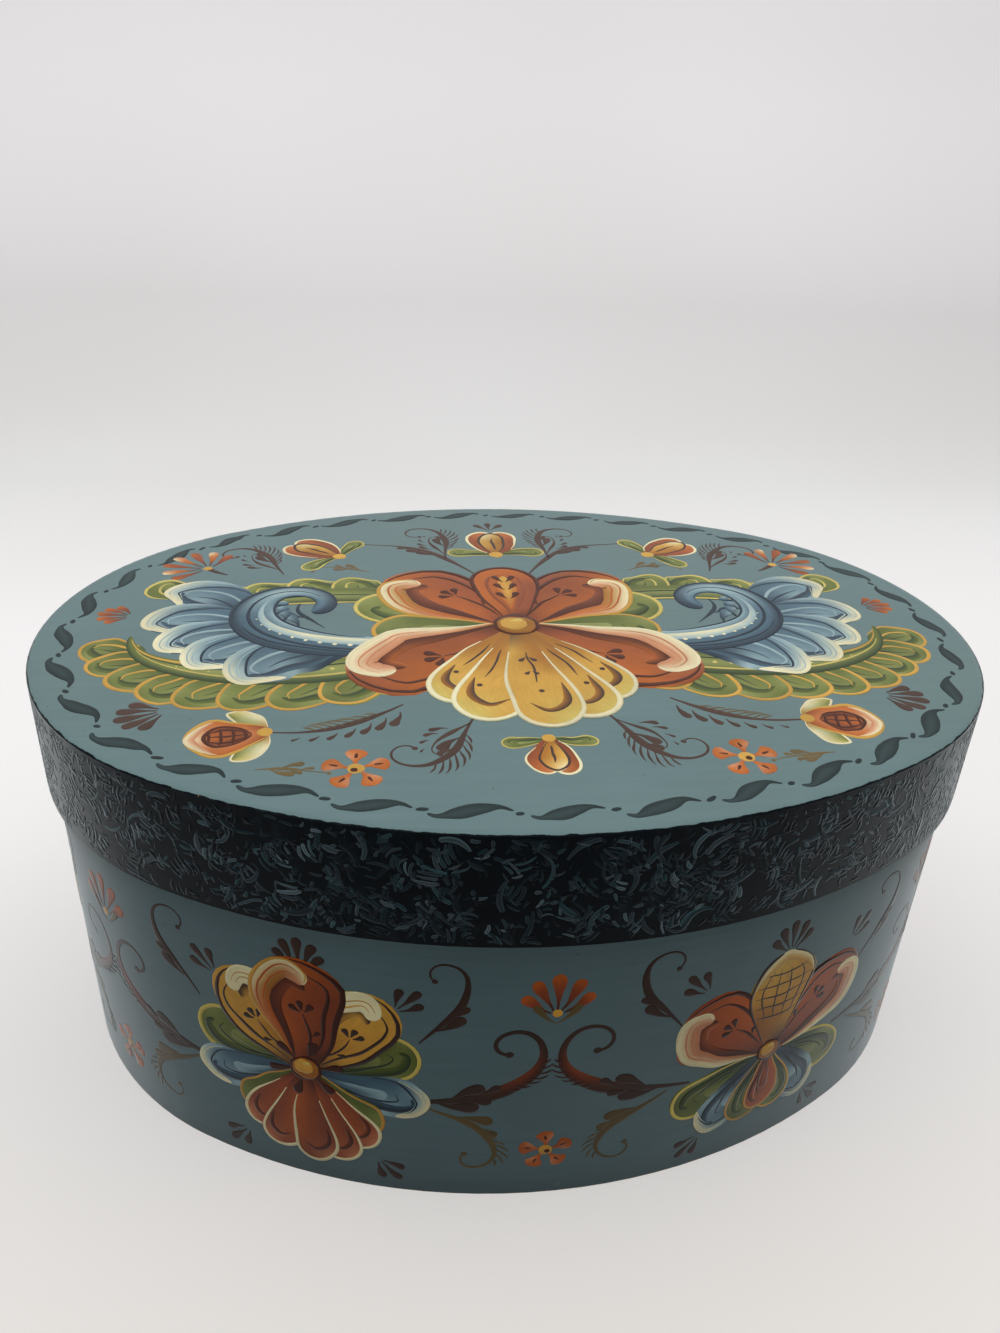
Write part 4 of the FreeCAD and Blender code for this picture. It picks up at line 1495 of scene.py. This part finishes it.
def seen(n):
    """1 for the rays of the camera, gloss and glass, and 0 for the others."""
    rays = n.add("LightPath")
    shown = n.math("MAXIMUM", rays["Is Camera Ray"], rays["Is Glossy Ray"])
    return n.math("MAXIMUM", shown, rays["Is Transmission Ray"])


def sweep_material():
    """The white sweep. It keeps the box's shadow, and the camera and gloss see it brighter."""
    material, n, position, _ = new_material("white_sweep")
    node = n.tree.nodes.new("ShaderNodeValToRGB")
    elements = node.color_ramp.elements
    for place, colour in GLOW:
        elements.new((place - GLOW_START) / (GLOW_END - GLOW_START)).color = (*colour, 1)
    elements[0].color, elements[-1].color = (*GLOW[0][1], 1), (*GLOW[-1][1], 1)
    share = n.add("MapRange", {"Value": n.axis(position, 1), "From Min": GLOW_START, "From Max": GLOW_END})
    # the glow carries the painted light and shade along the sweep
    glow = n.mix(seen(n), (0, 0, 0, 1), n.fill(node, {"Fac": share["Result"]})["Color"])
    cloud = n.ramp(n.noise(position, 1.7, 1.0), 0.3, 0.7)
    n.principled(Base_Color=n.mix(cloud, (0.50, 0.485, 0.47, 1), (0.54, 0.535, 0.53, 1)), Roughness=0.8,
                 Specular_IOR_Level=0.2, Emission_Color=glow, Emission_Strength=1.0,
                 Normal=n.bump(n.noise(position, 900.0, 2.0), 0.08, 0.0001))
    return material


def sweep_mesh(material):
    """A floor that curves up into a backdrop."""
    profile = [(SWEEP_FRONT, 0.0), (SWEEP_BACK, 0.0)]
    profile += [(SWEEP_BACK + SWEEP_RADIUS * math.sin(a), SWEEP_RADIUS * (1 - math.cos(a)))
                for a in np.linspace(0, math.pi / 2, 24)[1:]]
    profile.append((SWEEP_BACK + SWEEP_RADIUS, SWEEP_TOP))
    points = [(x, y, z) for y, z in profile for x in (-SWEEP_HALF, SWEEP_HALF)]
    faces = [(2 * k, 2 * k + 1, 2 * k + 3, 2 * k + 2) for k in range(len(profile) - 1)]
    mesh = bpy.data.meshes.new("white_sweep")
    mesh.from_pydata(points, [], faces)
    mesh.shade_smooth()
    mesh.materials.append(material)
    piece = bpy.data.objects.new("white_sweep", mesh)
    bpy.context.scene.collection.objects.link(piece)


def overhead_lamp():
    """A soft rectangular lamp over the box."""
    data = bpy.data.lights.new("overhead", "AREA")
    data.shape = "RECTANGLE"
    data.size, data.size_y = LAMP_SIZE
    data.energy, data.color = LAMP_WATTS, LAMP_COLOUR
    piece = bpy.data.objects.new("overhead", data)
    piece.location = LAMP_PLACE
    piece.rotation_euler = (LAMP_AIM - LAMP_PLACE).to_track_quat("-Z", "Y").to_euler()
    bpy.context.scene.collection.objects.link(piece)


def world_light():
    """Soft room light, dim on the photographer's side. The camera and gloss see it white."""
    world = bpy.data.worlds.new("room")
    bpy.context.scene.world = world
    n = empty_nodes(world)
    way = n.add("TexCoord")["Generated"]
    x = n.axis(way, 0)
    room = x * x * ROOM_ENDS + (n.ramp(n.axis(way, 1), -0.9, 0.3) * ROOM_REST + ROOM_FRONT)
    strength = n.mix_numbers(seen(n), room, ROOM_SEEN)
    n.add("OutputWorld", {0: n.add("Background", {"Color": (1, 1, 1, 1), "Strength": strength})[0]})


def place_camera(view):
    """The camera at the photograph's viewing angle."""
    right = Vector((1, 0, 0))
    up = Vector((0, math.sin(view.elevation), math.cos(view.elevation)))
    forward = Vector((0, math.cos(view.elevation), -math.sin(view.elevation)))
    place = -view.distance * forward - view.across * right + view.below * up
    tipped_right = right * math.cos(view.roll) - up * math.sin(view.roll)
    tipped_up = right * math.sin(view.roll) + up * math.cos(view.roll)
    turned = Matrix.Rotation(-view.azimuth, 3, "Z")
    matrix = Matrix([turned @ axis for axis in (tipped_right, tipped_up, -forward)]).transposed().to_4x4()
    matrix.translation = turned @ place + Vector((0, 0, LID_TOP * MM / 2))
    data = bpy.data.cameras.new("camera")
    data.sensor_width = 36
    data.lens = view.lens
    data.clip_start = 0.01
    camera = bpy.data.objects.new("camera", data)
    camera.matrix_world = matrix
    bpy.context.scene.collection.objects.link(camera)
    bpy.context.scene.camera = camera


class BOX_OT_stage(BoxOperator, Operator):
    """Set up the sweep, the lamp and the camera"""
    bl_idname = "box.set_stage"
    bl_label = "Set stage"

    def execute(self, context):
        context.scene.view_settings.view_transform = "Standard"
        sweep_mesh(sweep_material())
        overhead_lamp()
        world_light()
        place_camera(context.scene.box_view)
        return {"FINISHED"}


class VIEW3D_PT_painted_box(Panel):
    """The box's sizes and colours"""
    bl_label = "Painted box"
    bl_space_type = "VIEW_3D"
    bl_region_type = "UI"
    bl_category = "Box"

    def draw(self, context):
        layout = self.layout
        for group in SETTINGS:
            box = layout.box()
            box.label(text=group.replace("_", " ").title())
            settings = getattr(context.scene, group)
            for name in settings.__annotations__:
                box.prop(settings, name)
        for operator in STEPS:
            layout.operator(operator.bl_idname)


SETTINGS = {"box_colours": BoxColours, "box_border": BoxBorder, "box_rim": BoxRim, "box_wall": BoxWall,
            "box_view": BoxView}
STEPS = (BOX_OT_wood, BOX_OT_border, BOX_OT_lid, BOX_OT_wall, BOX_OT_rim, BOX_OT_stage)
CLASSES = (*SETTINGS.values(), *STEPS, VIEW3D_PT_painted_box)


def register():
    for cls in CLASSES:
        bpy.utils.register_class(cls)
    for name, cls in SETTINGS.items():
        setattr(bpy.types.Scene, name, PointerProperty(type=cls))


def unregister():
    for name in SETTINGS:
        delattr(bpy.types.Scene, name)
    for cls in reversed(CLASSES):
        bpy.utils.unregister_class(cls)


def main():
    register()
    for step in STEPS:
        family, name = step.bl_idname.split(".")
        getattr(getattr(bpy.ops, family), name)()


if __name__ == "__main__":
    main()
